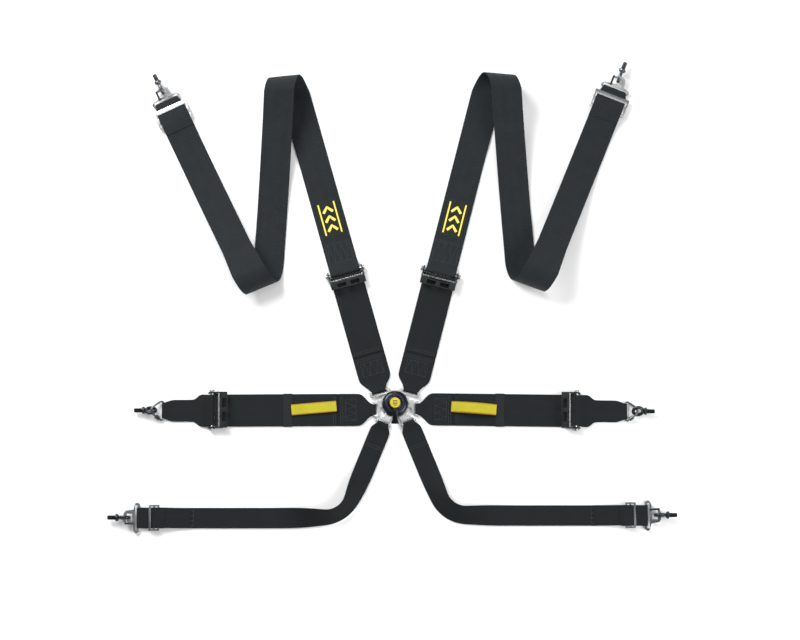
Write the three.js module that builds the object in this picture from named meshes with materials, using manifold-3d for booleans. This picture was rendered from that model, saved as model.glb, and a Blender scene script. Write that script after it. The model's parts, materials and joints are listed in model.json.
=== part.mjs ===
// A six-strap racing harness, laid out flat with all its tongues latched in the round buckle.
// Millimetres and degrees. +Z is up, off the surface that the harness lies on.
// The origin is the centre of the buckle's flat back. +Y points to the shoulder anchors and
// +X to the right-hand lap anchor. Headings are plan angles counted from +X.
import * as THREE from 'three';
import { mergeVertices } from 'three/addons/utils/BufferGeometryUtils.js';
import Module from 'manifold-3d';

const wasm = await Module();
wasm.setup();

// ---- Driving dimensions ----
const GAP = 0.4; // free space between two pieces that touch

const WEB = { thickness: 1.6, wide: 75, belt: 80, narrow: 50 };

const BUCKLE = { baseRadius: 36, baseThickness: 3, postRadius: 2.2, postPitch: 30, capRadius: 32,
  capTop: 24, capWall: 2, hubHole: 9.5, boss: 6, bossTop: 9 };
const TONGUE = { floor: 4, thickness: 3, noseWidth: 18, noseTip: 19, holeRadius: 5, holePitch: 25,
  bar: 5, slot: 5.5, rim: 3.5 };
const LEVER = { hubRadius: 19, hubTopRadius: 15, hubHeight: 7, stem: 7, reach: 50, width: 10.4,
  tipWidth: 19, thickness: 5, tipFloor: 12.5 };
const SCREW = { radius: 2.5, head: 5.5, headHeight: 2.6 };
const CAM = { floor: 9.6, thickness: 4, hubRadius: 12, lobeRadius: 17, lobes: 6 };
const LATCH = { thickness: 0.8, ringInner: 9, ringOuter: 14, width: 6, reach: 24.6 };
const COIL = { radius: 8.4, wire: 0.7, turns: 2.5 };

const ADJUSTER = {
  inside: Math.max(WEB.wide, WEB.belt) / 2 + 1.5, // from the middle to a cheek's inner face
  cheek: 3,
  barRadius: 5,
  barEnd: 3,
  pinRadius: 4,
  axis: 11,
  pinHead: 6,
  headWidth: 5.5,
  lipWidth: 18,
  lipThickness: 2.5,
  windowWidth: 24,
  windowLength: 11,
  tail: 24,
};
// The pin is just far enough ahead of the lock bar for both straps' loops to pass each other.
ADJUSTER.pinAhead = ADJUSTER.barRadius + ADJUSTER.pinRadius + 2 * (GAP + WEB.thickness) + 1;
const SLIDE = { length: 48, thickness: 2.5, outerBar: 11, centreBar: 10, innerBar: 9, side: 5,
  barToHook: 14 };
const SLIM_SLIDE = { ...SLIDE, length: 26, outerBar: 5, centreBar: 5, innerBar: 5, side: 4 };
const HOOK = { thickness: 3.5, width: 74, bar: 5, slot: 7, bridge: 6, holeLength: 14.1,
  nose: 8, axis: 6, tilt: 17, strap: 60 };
const GATE = { width: 5, length: 21, thickness: 2.4, rivet: 2, offset: 14.5 };
const EYE = { wire: 4.5, ring: 11.75, collar: 9, collarHeight: 6.2, shank: 5.55, thread: 20 };
const LINK = { wire: 2.5, half: 23, tip: 13, run: 30, seat: 10.5, corner: 5, lean: 28,
  axis: 5.2, ringTilt: 50 };
const SLEEVE = { outer: 5, length: 12 };
const PULL = { width: 27, thickness: 1.6 };

const FOLD = { reach: 40, height: 70, floor: 3.4, steps: 12 };

// Where each strap starts, points and ends. runs are lengths along the strap.
const SHOULDERS = [
  { side: 'left', bar: [-40.3, 31.5], heading: 105.7, nose: 120, pinRun: 310, hem: 95, legRun: 475,
    topEnd: [-289, 783], lowStart: [-316, 328], lowEnd: [-361, 320], slide: [-558, 733], lowTurn: 12 },
  { side: 'right', bar: [38, 31.5], heading: 75.8, nose: 60, pinRun: 306, hem: 95, legRun: 481,
    topEnd: [277, 789], lowStart: [313, 334], lowEnd: [362, 326], slide: [538, 762], lowTurn: -12 },
];
const LAPS = [
  { side: 'left', bar: [-52, -14], heading: 180.3, nose: 180, pinRun: 398, hem: 89, pullEnd: 203,
    pullArch: 1, pullTurn: 4.6 },
  { side: 'right', bar: [54, -12.2], heading: -0.7, nose: 0, pinRun: 392.5, hem: 90, pullEnd: 195,
    pullArch: 9, pullTurn: -3.5 },
];
const CROTCHES = [
  { side: 'left', bar: [-30, -49.2], heading: 248, nose: 240, cross: -281, slide: -588, bank: 50 },
  { side: 'right', bar: [33.5, -46.7], heading: 292, nose: 300, cross: -274.7, slide: 574.5,
    bank: 34 },
];
const CROTCH_BEND = { radius: 72, steps: 8, easeIn: 95, easeOut: 120 };
const STRAP_LAP = 60; // length of a sewn-back end
const PULL_RUN = 111; // length of a pull loop
const END_STRAP = { flap: 31, chamferEnd: 43, narrow: 54, taperStart: 99, end: 120, tip: 38,
  flapWidth: 80 };

// What follows from them.
const HALF_WEB = WEB.thickness / 2;
const BAR_AXIS = TONGUE.floor + TONGUE.thickness / 2;
const BAR_LOOP = Math.hypot(TONGUE.bar, TONGUE.thickness) / 2 + GAP + HALF_WEB;
const LAYER_LOW = BAR_AXIS - BAR_LOOP;
const LAYER_HIGH = LAYER_LOW + WEB.thickness + GAP + 0.1;
const LOCK_LOOP = ADJUSTER.barRadius + GAP + HALF_WEB;
const PIN_LOOP = ADJUSTER.pinRadius + GAP + HALF_WEB;
const HOOK_LOOP = Math.hypot(HOOK.bar, HOOK.thickness) / 2 + GAP + HALF_WEB;
const LINK_LOOP = LINK.wire + GAP + HALF_WEB;
const SLIDE_FLOOR = HOOK.axis + HOOK_LOOP + HALF_WEB + GAP;
const HOOK_AT = SLIDE.length / 2 + SLIDE.barToHook;
const PULL_FLOOR = LAYER_HIGH + HALF_WEB + GAP + 0.3;

const FINISHES = {
  webbing: { color: 0x25292c, roughness: 0.92, metalness: 0 },
  pull: { color: 0xd8cf34, roughness: 0.85, metalness: 0 },
  black: { color: 0x17191b, roughness: 0.45, metalness: 0.6 },
  cap: { color: 0x1d2530, roughness: 0.35, metalness: 0.4 },
  badge: { color: 0xe3cf3c, roughness: 0.4, metalness: 0 },
  silver: { color: 0xc9cac8, roughness: 0.3, metalness: 1 },
  dark: { color: 0x55585a, roughness: 0.4, metalness: 1 },
};

// ---- Small helpers ----
const rad = THREE.MathUtils.degToRad;
const sin = (angle) => Math.sin(rad(angle));
const cos = (angle) => Math.cos(rad(angle));
const mix = THREE.MathUtils.lerp;
const ease = (value, from, to) => THREE.MathUtils.smoothstep(value, from, to);

function toSolid(geometry) {
  const bare = geometry.clone();
  bare.deleteAttribute('normal');
  bare.deleteAttribute('uv');
  const merged = mergeVertices(bare, 1e-4);
  const vertProperties = new Float32Array(merged.attributes.position.array);
  const triVerts = new Uint32Array(merged.index.array);
  return new wasm.Manifold(new wasm.Mesh({ numProp: 3, vertProperties, triVerts }));
}

function toGeometry(solid) {
  const mesh = solid.getMesh();
  const geometry = new THREE.BufferGeometry();
  geometry.setAttribute('position', new THREE.BufferAttribute(mesh.vertProperties, 3));
  geometry.setIndex(new THREE.BufferAttribute(mesh.triVerts, 1));
  return geometry;
}

function join(...geometries) {
  return toGeometry(geometries.map(toSolid).reduce((whole, next) => whole.add(next)));
}

function cut(body, ...tools) {
  return toGeometry(tools.map(toSolid).reduce((whole, tool) => whole.subtract(tool), toSolid(body)));
}

function prism(points, floor, ceiling) {
  const shape = new THREE.Shape(points.map(([x, y]) => new THREE.Vector2(x, y)));
  const options = { depth: ceiling - floor, bevelEnabled: false, curveSegments: 6 };
  return new THREE.ExtrudeGeometry(shape, options).translate(0, 0, floor);
}

function box(x0, x1, y0, y1, z0, z1) {
  return new THREE.BoxGeometry(x1 - x0, y1 - y0, z1 - z0)
    .translate((x0 + x1) / 2, (y0 + y1) / 2, (z0 + z1) / 2);
}

function upright(radius, floor, ceiling, sides = 16) {
  return new THREE.CylinderGeometry(radius, radius, ceiling - floor, sides)
    .rotateX(Math.PI / 2)
    .translate(0, 0, (floor + ceiling) / 2);
}

// A round bar along Y.
function crossbar(radius, from, to, sides = 16) {
  return new THREE.CylinderGeometry(radius, radius, to - from, sides).translate(0, (from + to) / 2, 0);
}

// A round bar along X.
function longbar(radius, from, to, sides = 16) {
  return new THREE.CylinderGeometry(radius, radius, to - from, sides)
    .rotateZ(-Math.PI / 2)
    .translate((from + to) / 2, 0, 0);
}

// A closed ring of revolution about Z; the profile is [radius, height] pairs.
function revolve(profile, sides = 32) {
  const points = [...profile, profile[0]].map(([r, z]) => new THREE.Vector2(r, z));
  return new THREE.LatheGeometry(points, sides).rotateX(Math.PI / 2);
}

function arc(x, z, radius, from, to, steps = 8) {
  return Array.from({ length: steps + 1 }, (_, i) => {
    const angle = mix(from, to, i / steps);
    return [x + radius * cos(angle), z + radius * sin(angle)];
  });
}

function put(parent, name, geometry, finish, pivot = [0, 0, 0]) {
  geometry.translate(-pivot[0], -pivot[1], -pivot[2]);
  geometry.computeVertexNormals();
  const mesh = new THREE.Mesh(geometry, new THREE.MeshStandardMaterial(FINISHES[finish]));
  mesh.name = name;
  mesh.position.set(...pivot);
  parent.add(mesh);
  return mesh;
}

function frameAt(parent, x, y, heading) {
  const group = new THREE.Group();
  group.position.set(x, y, 0);
  group.rotation.z = rad(heading);
  parent.add(group);
  group.updateWorldMatrix(true, false);
  return group;
}

// ---- Webbing ----
// A band of webbing through a row of stations. Each station has a centre, the direction across the
// band and the band's half width there.
function ribbon(stations, thickness = WEB.thickness) {
  const position = [];
  const index = [];
  const last = stations.length - 1;
  stations.forEach(({ centre, across, half }, i) => {
    const ahead = stations[Math.min(i + 1, last)].centre;
    const along = ahead.clone().sub(stations[Math.max(i - 1, 0)].centre);
    const normal = along.cross(across).normalize();
    for (const [side, face] of [[-1, -1], [1, -1], [1, 1], [-1, 1]]) {
      const corner = centre.clone().addScaledVector(across, side * half);
      position.push(...corner.addScaledVector(normal, face * thickness / 2).toArray());
    }
  });
  for (let i = 0; i < last; i += 1) {
    for (let k = 0; k < 4; k += 1) {
      const a = 4 * i + k;
      const b = 4 * i + (k + 1) % 4;
      index.push(a, b, a + 4, b, b + 4, a + 4);
    }
  }
  const end = 4 * last;
  index.push(0, 3, 2, 0, 2, 1, end, end + 1, end + 2, end, end + 2, end + 3);
  const geometry = new THREE.BufferGeometry();
  geometry.setAttribute('position', new THREE.BufferAttribute(new Float32Array(position), 3));
  geometry.setIndex(index);
  return geometry;
}

// Stations of a strap that runs straight along X; the path is [run, height] pairs.
function straight(path, halfAt) {
  return path.map(([run, height]) => ({
    centre: new THREE.Vector3(run, 0, height),
    across: new THREE.Vector3(0, 1, 0),
    half: halfAt(run),
  }));
}

function tongueLoop() {
  return arc(0, BAR_AXIS, BAR_LOOP, -90, -270);
}

// Lower belt: from the tail's hem up over the adjuster's lock bar, back underneath to the tongue's
// bar, round it and sewn down on top.
function belt({ pinRun, hem }, barHalf) {
  const lock = pinRun - ADJUSTER.pinAhead;
  const leave = 125;
  const slope = 35;
  const top = arc(lock, ADJUSTER.axis, LOCK_LOOP, leave, -90, 12);
  const [topRun, topHeight] = top[0];
  const rise = (topHeight - LAYER_HIGH - 1) / sin(slope);
  const foot = topRun - rise * cos(slope);
  const path = [
    [hem + 2, LAYER_HIGH], [mix(hem, foot, 0.5), LAYER_HIGH], [foot - 8, LAYER_HIGH],
    [foot, LAYER_HIGH + 1], ...top,
    [foot, LAYER_LOW + 0.3], [foot - 10, LAYER_LOW], [mix(hem, foot, 0.5), LAYER_LOW],
    [34, LAYER_LOW], [22, LAYER_LOW], [12, LAYER_LOW], ...tongueLoop(),
    [6, BAR_AXIS + BAR_LOOP - 1.2], [14, LAYER_HIGH + 2], [24, LAYER_HIGH], [34, LAYER_HIGH],
    [STRAP_LAP, LAYER_HIGH], [hem - 3, LAYER_HIGH],
  ];
  return ribbon(straight(path, (run) => mix(barHalf, WEB.belt / 2, ease(run, 4, 34))));
}

// The strap's far end, for a slide and a hook: over the slide's inner bars, down through its outer
// slot, round the hook's bar and back underneath. The slide's middle is at run 0.
function anchorPath(slide) {
  const over = SLIDE_FLOOR + slide.thickness + GAP + HALF_WEB;
  const top = HOOK.axis + HOOK_LOOP;
  const halfSlide = slide.length / 2;
  return [
    [-halfSlide - 40, LAYER_HIGH + 2.4], [-halfSlide - 16, over - 4], [-halfSlide - 2, over],
    [slide.centreBar / 2, over], [halfSlide - slide.outerBar, top - 0.1], [halfSlide, top - 0.1],
    ...arc(HOOK_AT, HOOK.axis, HOOK_LOOP, 90, -90),
    [halfSlide, LAYER_LOW + 0.5], [0, LAYER_LOW + 0.3], [-halfSlide - 10, LAYER_LOW],
  ];
}

// ---- Buckle ----
function postPlaces() {
  return Array.from({ length: 6 }, (_, i) => 30 + 60 * i);
}

function makeBase() {
  const disc = upright(BUCKLE.baseRadius, 0, BUCKLE.baseThickness, 40);
  const boss = upright(BUCKLE.boss, BUCKLE.baseThickness - 1, BUCKLE.bossTop);
  const posts = postPlaces().map((angle) => upright(BUCKLE.postRadius, BUCKLE.baseThickness - 1,
    capFloor() - GAP, 10).translate(BUCKLE.postPitch * cos(angle), BUCKLE.postPitch * sin(angle), 0));
  const bore = upright(SCREW.radius + GAP, BUCKLE.baseThickness + 0.6, BUCKLE.bossTop + 1);
  return cut(join(disc, boss, ...posts), bore);
}

function capFloor() {
  return TONGUE.floor + TONGUE.thickness + GAP + 0.2;
}

function makeCover() {
  const { capRadius, capTop, capWall, hubHole } = BUCKLE;
  const shoulder = capRadius - 11;
  const crown = (radius, drop) => arc(shoulder, capTop - 12, radius, 90, 0, 4)
    .map(([r, z]) => [r, z - drop]);
  const outer = [...crown(capRadius - shoulder, -1), [capRadius, capFloor()]];
  const inner = [[capRadius - capWall, capFloor()],
    ...crown(capRadius - shoulder - capWall, -1).reverse()];
  return revolve([[hubHole, capTop - capWall - 1], [hubHole, capTop], ...outer, ...inner].reverse(), 30);
}

function leverFloor() {
  return BUCKLE.capTop + GAP;
}

function makeLever() {
  const { hubRadius, hubTopRadius, hubHeight, stem, reach, width, tipWidth, thickness, tipFloor } = LEVER;
  const floor = leverFloor();
  const top = floor + hubHeight;
  const recess = SCREW.headHeight + GAP;
  const hub = revolve([[0, floor], [hubRadius, floor], [hubRadius, floor + 3], [hubTopRadius, top],
    [0, top]], 32);
  const stemRod = upright(stem, BUCKLE.bossTop + GAP, floor + 1, 24);
  const side = [[-10, top - 1], [-10, floor + 0.5], [-28, floor + 0.5], [-reach + 12, floor - 4],
    [-reach + 5, tipFloor], [-reach, tipFloor], [-reach, tipFloor + thickness],
    [-reach + 7, tipFloor + thickness + 2], [-reach + 16, floor + 2.5], [-28, floor + thickness]];
  const arm = prism(side, -width / 2, width / 2).applyMatrix4(new THREE.Matrix4().makeBasis(
    new THREE.Vector3(0, 1, 0), new THREE.Vector3(0, 0, 1), new THREE.Vector3(1, 0, 0)));
  const tip = box(-tipWidth / 2, tipWidth / 2, -reach - 0.5, -reach + 5, tipFloor, tipFloor + thickness);
  const bore = upright(SCREW.radius + GAP, 0, top + 1);
  const counterbore = upright(SCREW.head + GAP, top - recess, top + 1, 24);
  return cut(join(hub, stemRod, arm, tip), bore, counterbore);
}

function makeScrew() {
  const top = leverFloor() + LEVER.hubHeight;
  const head = upright(SCREW.head, top - SCREW.headHeight, top - 0.1, 24);
  const shank = upright(SCREW.radius, BUCKLE.baseThickness + 1, top - 1);
  return join(head, shank);
}

function makeCam() {
  const { floor, thickness, hubRadius, lobeRadius, lobes } = CAM;
  const lobe = 360 / lobes;
  const outline = Array.from({ length: lobes * 6 }, (_, i) => {
    const angle = (i * lobe) / 6;
    const radius = mix(hubRadius, lobeRadius, 0.5 + 0.5 * cos(angle * lobes));
    return [radius * cos(angle + lobe / 2), radius * sin(angle + lobe / 2)];
  });
  return cut(prism(outline, floor, floor + thickness), upright(LEVER.stem + GAP, 0, 40, 24));
}

// A flat ring with a bent finger that drops into each tongue's hole.
function makeLatch() {
  const { thickness, ringInner, ringOuter, width, reach } = LATCH;
  const floor = CAM.floor + CAM.thickness + GAP;
  const ring = revolve([[ringInner, floor], [ringOuter, floor], [ringOuter, floor + thickness],
    [ringInner, floor + thickness]], 24);
  const finger = straight([[ringOuter - 2, floor + thickness / 2], [reach - 3, floor + thickness / 2],
    [reach, floor - 2], [reach + 0.4, TONGUE.floor + 0.6]], () => width / 2);
  const fingers = [0, 60, 120, 180, 240, 300].map((angle) => ribbon(finger, thickness)
    .rotateZ(rad(angle)));
  return join(ring, ...fingers);
}

// A round wire along a row of points.
function wire(points, radius, sides, closed) {
  const count = points.length;
  const position = [];
  const index = [];
  let normal = null;
  points.forEach((point, i) => {
    const ahead = points[closed ? (i + 1) % count : Math.min(i + 1, count - 1)];
    const behind = points[closed ? (i + count - 1) % count : Math.max(i - 1, 0)];
    const along = ahead.clone().sub(behind).normalize();
    normal = (normal ?? new THREE.Vector3(0, 0, 1)).addScaledVector(along, -along.dot(normal
      ?? new THREE.Vector3(0, 0, 1))).normalize();
    const side = along.clone().cross(normal);
    for (let k = 0; k < sides; k += 1) {
      const angle = (360 * k) / sides;
      const spoke = normal.clone().multiplyScalar(cos(angle)).addScaledVector(side, -sin(angle));
      position.push(...point.clone().addScaledVector(spoke, radius).toArray());
    }
  });
  const spans = closed ? count : count - 1;
  for (let i = 0; i < spans; i += 1) {
    for (let k = 0; k < sides; k += 1) {
      const a = i * sides + k;
      const b = i * sides + (k + 1) % sides;
      const c = ((i + 1) % count) * sides + k;
      const d = ((i + 1) % count) * sides + (k + 1) % sides;
      index.push(a, c, b, b, c, d);
    }
  }
  if (!closed) {
    const end = (count - 1) * sides;
    for (let k = 1; k < sides - 1; k += 1) {
      index.push(0, k, k + 1, end, end + k + 1, end + k);
    }
  }
  const geometry = new THREE.BufferGeometry();
  geometry.setAttribute('position', new THREE.BufferAttribute(new Float32Array(position), 3));
  geometry.setIndex(index);
  return geometry;
}

function makeCoil() {
  const floor = CAM.floor + CAM.thickness + GAP + LATCH.thickness + GAP + COIL.wire;
  const ceiling = BUCKLE.capTop - BUCKLE.capWall - 1 - GAP - COIL.wire;
  const steps = COIL.turns * 16;
  const points = Array.from({ length: steps + 1 }, (_, i) => new THREE.Vector3(
    COIL.radius * cos((360 * COIL.turns * i) / steps),
    COIL.radius * sin((360 * COIL.turns * i) / steps),
    mix(floor, ceiling, i / steps),
  ));
  return wire(points, COIL.wire, 6, false);
}

function makeBuckle(parent) {
  put(parent, 'buckle_base', makeBase(), 'silver');
  put(parent, 'buckle_cover', makeCover(), 'cap');
  put(parent, 'cam_rotor', makeCam(), 'dark');
  put(parent, 'release_lever', makeLever(), 'cap');
  const badgeFloor = leverFloor() + LEVER.hubHeight + 0.3;
  put(parent, 'lever_badge', upright(12.5, badgeFloor, badgeFloor + 0.9, 32), 'badge');
  put(parent, 'pivot_screw', makeScrew(), 'dark');
  put(parent, 'return_spring', makeCoil(), 'silver');
  put(parent, 'latch_spring', makeLatch(), 'silver');
}

// ---- Tongues ----
// The plate in the strap's own frame: the strap bar is on the Y axis and the strap leaves along +X.
function makeTongue(place, barHalf, innerHalf) {
  const { floor, thickness, bar, slot, rim, noseWidth, noseTip, holeRadius, holePitch } = TONGUE;
  const top = floor + thickness;
  const inner = -bar / 2 - slot - rim;
  const slotInner = mix(innerHalf, barHalf, rim / (rim + slot));
  const plate = prism([[bar / 2, -barHalf], [bar / 2, barHalf], [-bar / 2, barHalf],
    [inner, innerHalf], [inner, -innerHalf], [-bar / 2, -barHalf]], floor, top);
  const opening = prism([[-bar / 2, -barHalf + rim], [-bar / 2, barHalf - rim],
    [-bar / 2 - slot, slotInner - 3], [-bar / 2 - slot, 3 - slotInner]], floor - 1, top + 1);
  const toStrap = ([x, y]) => {
    const turned = new THREE.Vector2(x - place.bar[0], y - place.bar[1]);
    return turned.rotateAround(new THREE.Vector2(), rad(-place.heading)).toArray();
  };
  const onNose = (run, side) => toStrap([run * cos(place.nose) - side * sin(place.nose),
    run * sin(place.nose) + side * cos(place.nose)]);
  const half = noseWidth / 2;
  const barRun = Math.hypot(...place.bar);
  const root = barRun - bar / 2 - slot - rim * 0.4;
  const nose = prism([onNose(noseTip, half - 3), onNose(noseTip, 3 - half), onNose(noseTip + 3, -half),
    onNose(root, -half), onNose(root, half), onNose(noseTip + 3, half)], floor, top);
  const web = prism([onNose(barRun * 0.7, half), onNose(barRun * 0.7, -half),
    [inner + 1, -innerHalf], [inner + 1, innerHalf]], floor, top);
  const [holeX, holeY] = onNose(holePitch, 0);
  const hole = upright(holeRadius, floor - 1, top + 1).translate(holeX, holeY, 0);
  const filled = barHalf === innerHalf ? join(plate, nose) : join(plate, nose, web);
  return cut(filled, opening, hole);
}

// ---- Adjusters ----
// Built with the lock bar's axis as origin: X along the strap, Y across it.
function makeAdjusterFrame() {
  const { inside, cheek, barEnd, pinRadius, pinAhead, axis, lipWidth, lipThickness, windowWidth,
    windowLength, tail } = ADJUSTER;
  const floor = 0.5 - axis;
  const lipTop = 11;
  const lipFloor = lipTop - lipThickness;
  const outline = new THREE.Shape([[-9, floor], [20, floor], [24, floor + 5], [22, 7], [16, lipTop - 2],
    [-4, lipTop], [-tail, lipTop], [-tail, lipFloor], [-11, lipFloor - 1], [-13, -3]]
    .map(([x, z]) => new THREE.Vector2(x, z)));
  const pinHole = new THREE.Path().absarc(pinAhead, 0, pinRadius + GAP, 0, 2 * Math.PI, true);
  const slot = new THREE.Path();
  slot.absarc(2, 0, barEnd + GAP, -Math.PI / 2, Math.PI / 2, false);
  slot.absarc(-2, 0, barEnd + GAP, Math.PI / 2, 1.5 * Math.PI, false);
  outline.holes.push(pinHole, slot);
  const side = () => new THREE.ExtrudeGeometry(outline, { depth: cheek, bevelEnabled: false,
    curveSegments: 6 }).rotateX(Math.PI / 2);
  const left = side().translate(0, inside + cheek, 0);
  const right = side().translate(0, -inside, 0);
  const width = inside + cheek;
  const lip = box(-tail, -tail + lipWidth, -width, width, lipFloor, lipTop);
  const windowStart = -tail + 2;
  const windows = [-1, 1].map((hand) => box(windowStart, windowStart + windowLength,
    hand * (windowWidth / 2 + 5) - windowWidth / 2, hand * (windowWidth / 2 + 5) + windowWidth / 2,
    lipFloor - 1, lipTop + 1));
  return cut(join(left, right, lip), ...windows);
}

function makeLockBar() {
  const { inside, cheek, barRadius, barEnd } = ADJUSTER;
  const reach = inside - GAP;
  return join(crossbar(barRadius, -reach, reach, 20), crossbar(barEnd, -inside - cheek - 2,
    inside + cheek + 2, 12));
}

function makePin() {
  const { inside, cheek, pinRadius, pinHead, headWidth } = ADJUSTER;
  const start = inside + cheek + GAP;
  return join(crossbar(pinRadius, -start - 1, start + 1), crossbar(pinHead, start, start + headWidth),
    crossbar(pinHead, -start - headWidth, -start));
}

function addAdjuster(strap, name, pinRun) {
  const lock = pinRun - ADJUSTER.pinAhead;
  const pivot = [lock, 0, ADJUSTER.axis];
  const place = (geometry) => geometry.translate(...pivot);
  put(strap, `${name}_adjuster_frame`, place(makeAdjusterFrame()), 'black', pivot);
  put(strap, `${name}_lock_bar`, place(makeLockBar()), 'dark', pivot);
  const pinPivot = [pinRun, 0, ADJUSTER.axis];
  put(strap, `${name}_adjuster_pin`, makePin().translate(...pinPivot), 'silver', pinPivot);
}

// ---- Anchor hardware ----
function makeSlide(webbing, slide) {
  const { length, thickness, outerBar, centreBar, innerBar, side } = slide;
  const half = webbing / 2 + 2.5;
  const end = length / 2;
  const top = SLIDE_FLOOR + thickness;
  const frame = box(-end, end, -half - side, half + side, SLIDE_FLOOR, top);
  const slots = [[-end + innerBar, -centreBar / 2], [centreBar / 2, end - outerBar]]
    .map(([from, to]) => box(from, to, -half, half, SLIDE_FLOOR - 1, top + 1));
  return cut(frame, ...slots);
}

// The hook's plate with its rear bar on the Y axis, flat in XY.
function hookStops() {
  const slotEnd = HOOK.bar / 2 + HOOK.slot;
  const holeStart = slotEnd + HOOK.bridge;
  const holeEnd = holeStart + HOOK.holeLength;
  return { slotEnd, holeStart, holeEnd, nose: holeEnd + HOOK.nose };
}

function makeHook() {
  const { slotEnd, holeStart, holeEnd, nose } = hookStops();
  const half = HOOK.width / 2;
  const strapHalf = HOOK.strap / 2 + 1;
  const outline = new THREE.Shape([[-HOOK.bar / 2, -half + 4], [-HOOK.bar / 2, half - 4],
    [2, half], [slotEnd - 2, half], [slotEnd + 3, half - 6], [holeStart - 1, 18], [holeStart, 13],
    [holeStart, -10], [holeEnd, -10], [holeEnd, 11], [holeEnd + 2, 13], [nose - 3, 13],
    [nose, 6], [nose, -10], [nose - 5, -17], [slotEnd + 4, -20], [slotEnd + 1, -half + 6],
    [slotEnd - 2, -half], [2, -half]].map(([x, y]) => new THREE.Vector2(x, y)));
  const plate = new THREE.ExtrudeGeometry(outline, { depth: HOOK.thickness, bevelEnabled: false })
    .translate(0, 0, -HOOK.thickness / 2);
  const slot = box(HOOK.bar / 2, slotEnd, -strapHalf, strapHalf, -HOOK.thickness, HOOK.thickness);
  const rivetHole = upright(GATE.rivet + GAP, -HOOK.thickness, HOOK.thickness, 12)
    .translate(gateRoot(), GATE.offset, 0);
  return cut(plate, slot, rivetHole);
}

function gateRoot() {
  return hookStops().holeStart - HOOK.bridge / 2 - 0.5;
}

// The gate lies on top of the plate across the hook's mouth and turns about its rivet.
function makeGate() {
  const floor = HOOK.thickness / 2 + GAP;
  const half = GATE.width / 2;
  const outline = new THREE.Shape();
  outline.absarc(0, 0, half, Math.PI / 2, 1.5 * Math.PI, false);
  outline.absarc(GATE.length, 0, half, -Math.PI / 2, Math.PI / 2, false);
  const arm = new THREE.ExtrudeGeometry(outline, { depth: GATE.thickness, bevelEnabled: false,
    curveSegments: 6 }).translate(0, 0, floor);
  const rivet = upright(GATE.rivet, -HOOK.thickness / 2, floor + 1, 10);
  return join(arm, rivet);
}

// The ring's centre is the origin and the shank points along +X; tilt turns the ring about X.
function makeEyeBolt(tilt) {
  const { wire: wireRadius, ring, collar, collarHeight, shank, thread } = EYE;
  const start = ring + wireRadius;
  const torus = new THREE.TorusGeometry(ring, wireRadius, 8, 18).rotateX(rad(tilt));
  const seat = start + collarHeight - 1;
  return join(torus, longbar(collar, start - 1.5, seat, 20), longbar(shank, seat - 1, seat + thread, 14));
}

function addHookEnd(parent, name, x, y, heading) {
  const end = frameAt(parent, x, y, heading);
  const tilted = new THREE.Group();
  tilted.position.set(HOOK_AT, 0, HOOK.axis);
  tilted.rotation.y = rad(-HOOK.tilt);
  end.add(tilted);
  put(tilted, `${name}_hook`, makeHook(), 'silver');
  const gate = put(tilted, `${name}_hook_gate`, makeGate(), 'dark');
  gate.position.set(gateRoot(), GATE.offset, 0);
  const nearWire = hookStops().holeEnd - EYE.wire - 1.8;
  const pivotX = HOOK_AT + nearWire * cos(HOOK.tilt);
  const ringHeight = EYE.ring + EYE.wire + GAP;
  const bolt = makeEyeBolt(90).translate(pivotX + EYE.ring, 0, ringHeight);
  put(end, `${name}_eye_bolt`, bolt, 'dark', [pivotX, 0, ringHeight]);
  return end;
}

// ---- Shoulder straps ----
const flat = ([x, y], z) => new THREE.Vector3(x, y, z);

// One loose turn of the webbing: from start up and over to end, with its crest reach beyond them.
// The crest's line may be turned a little from square.
function fold(start, end, incoming, outgoing, half, lineTurn = 0) {
  const crest = incoming.clone().sub(outgoing).normalize();
  const square = crest.clone().applyAxisAngle(new THREE.Vector3(0, 0, 1), rad(lineTurn));
  const across = new THREE.Vector3(-square.y, square.x, 0);
  const wide = half / Math.abs(square.dot(incoming));
  return Array.from({ length: FOLD.steps + 1 }, (_, i) => {
    const turn = (180 * i) / FOLD.steps;
    const centre = start.clone().lerp(end, i / FOLD.steps);
    centre.addScaledVector(crest, FOLD.reach * sin(turn));
    centre.z = mix(FOLD.floor, FOLD.floor + FOLD.height, (1 - cos(turn)) / 2);
    return { centre, across: across.clone(), half: wide };
  });
}

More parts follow.
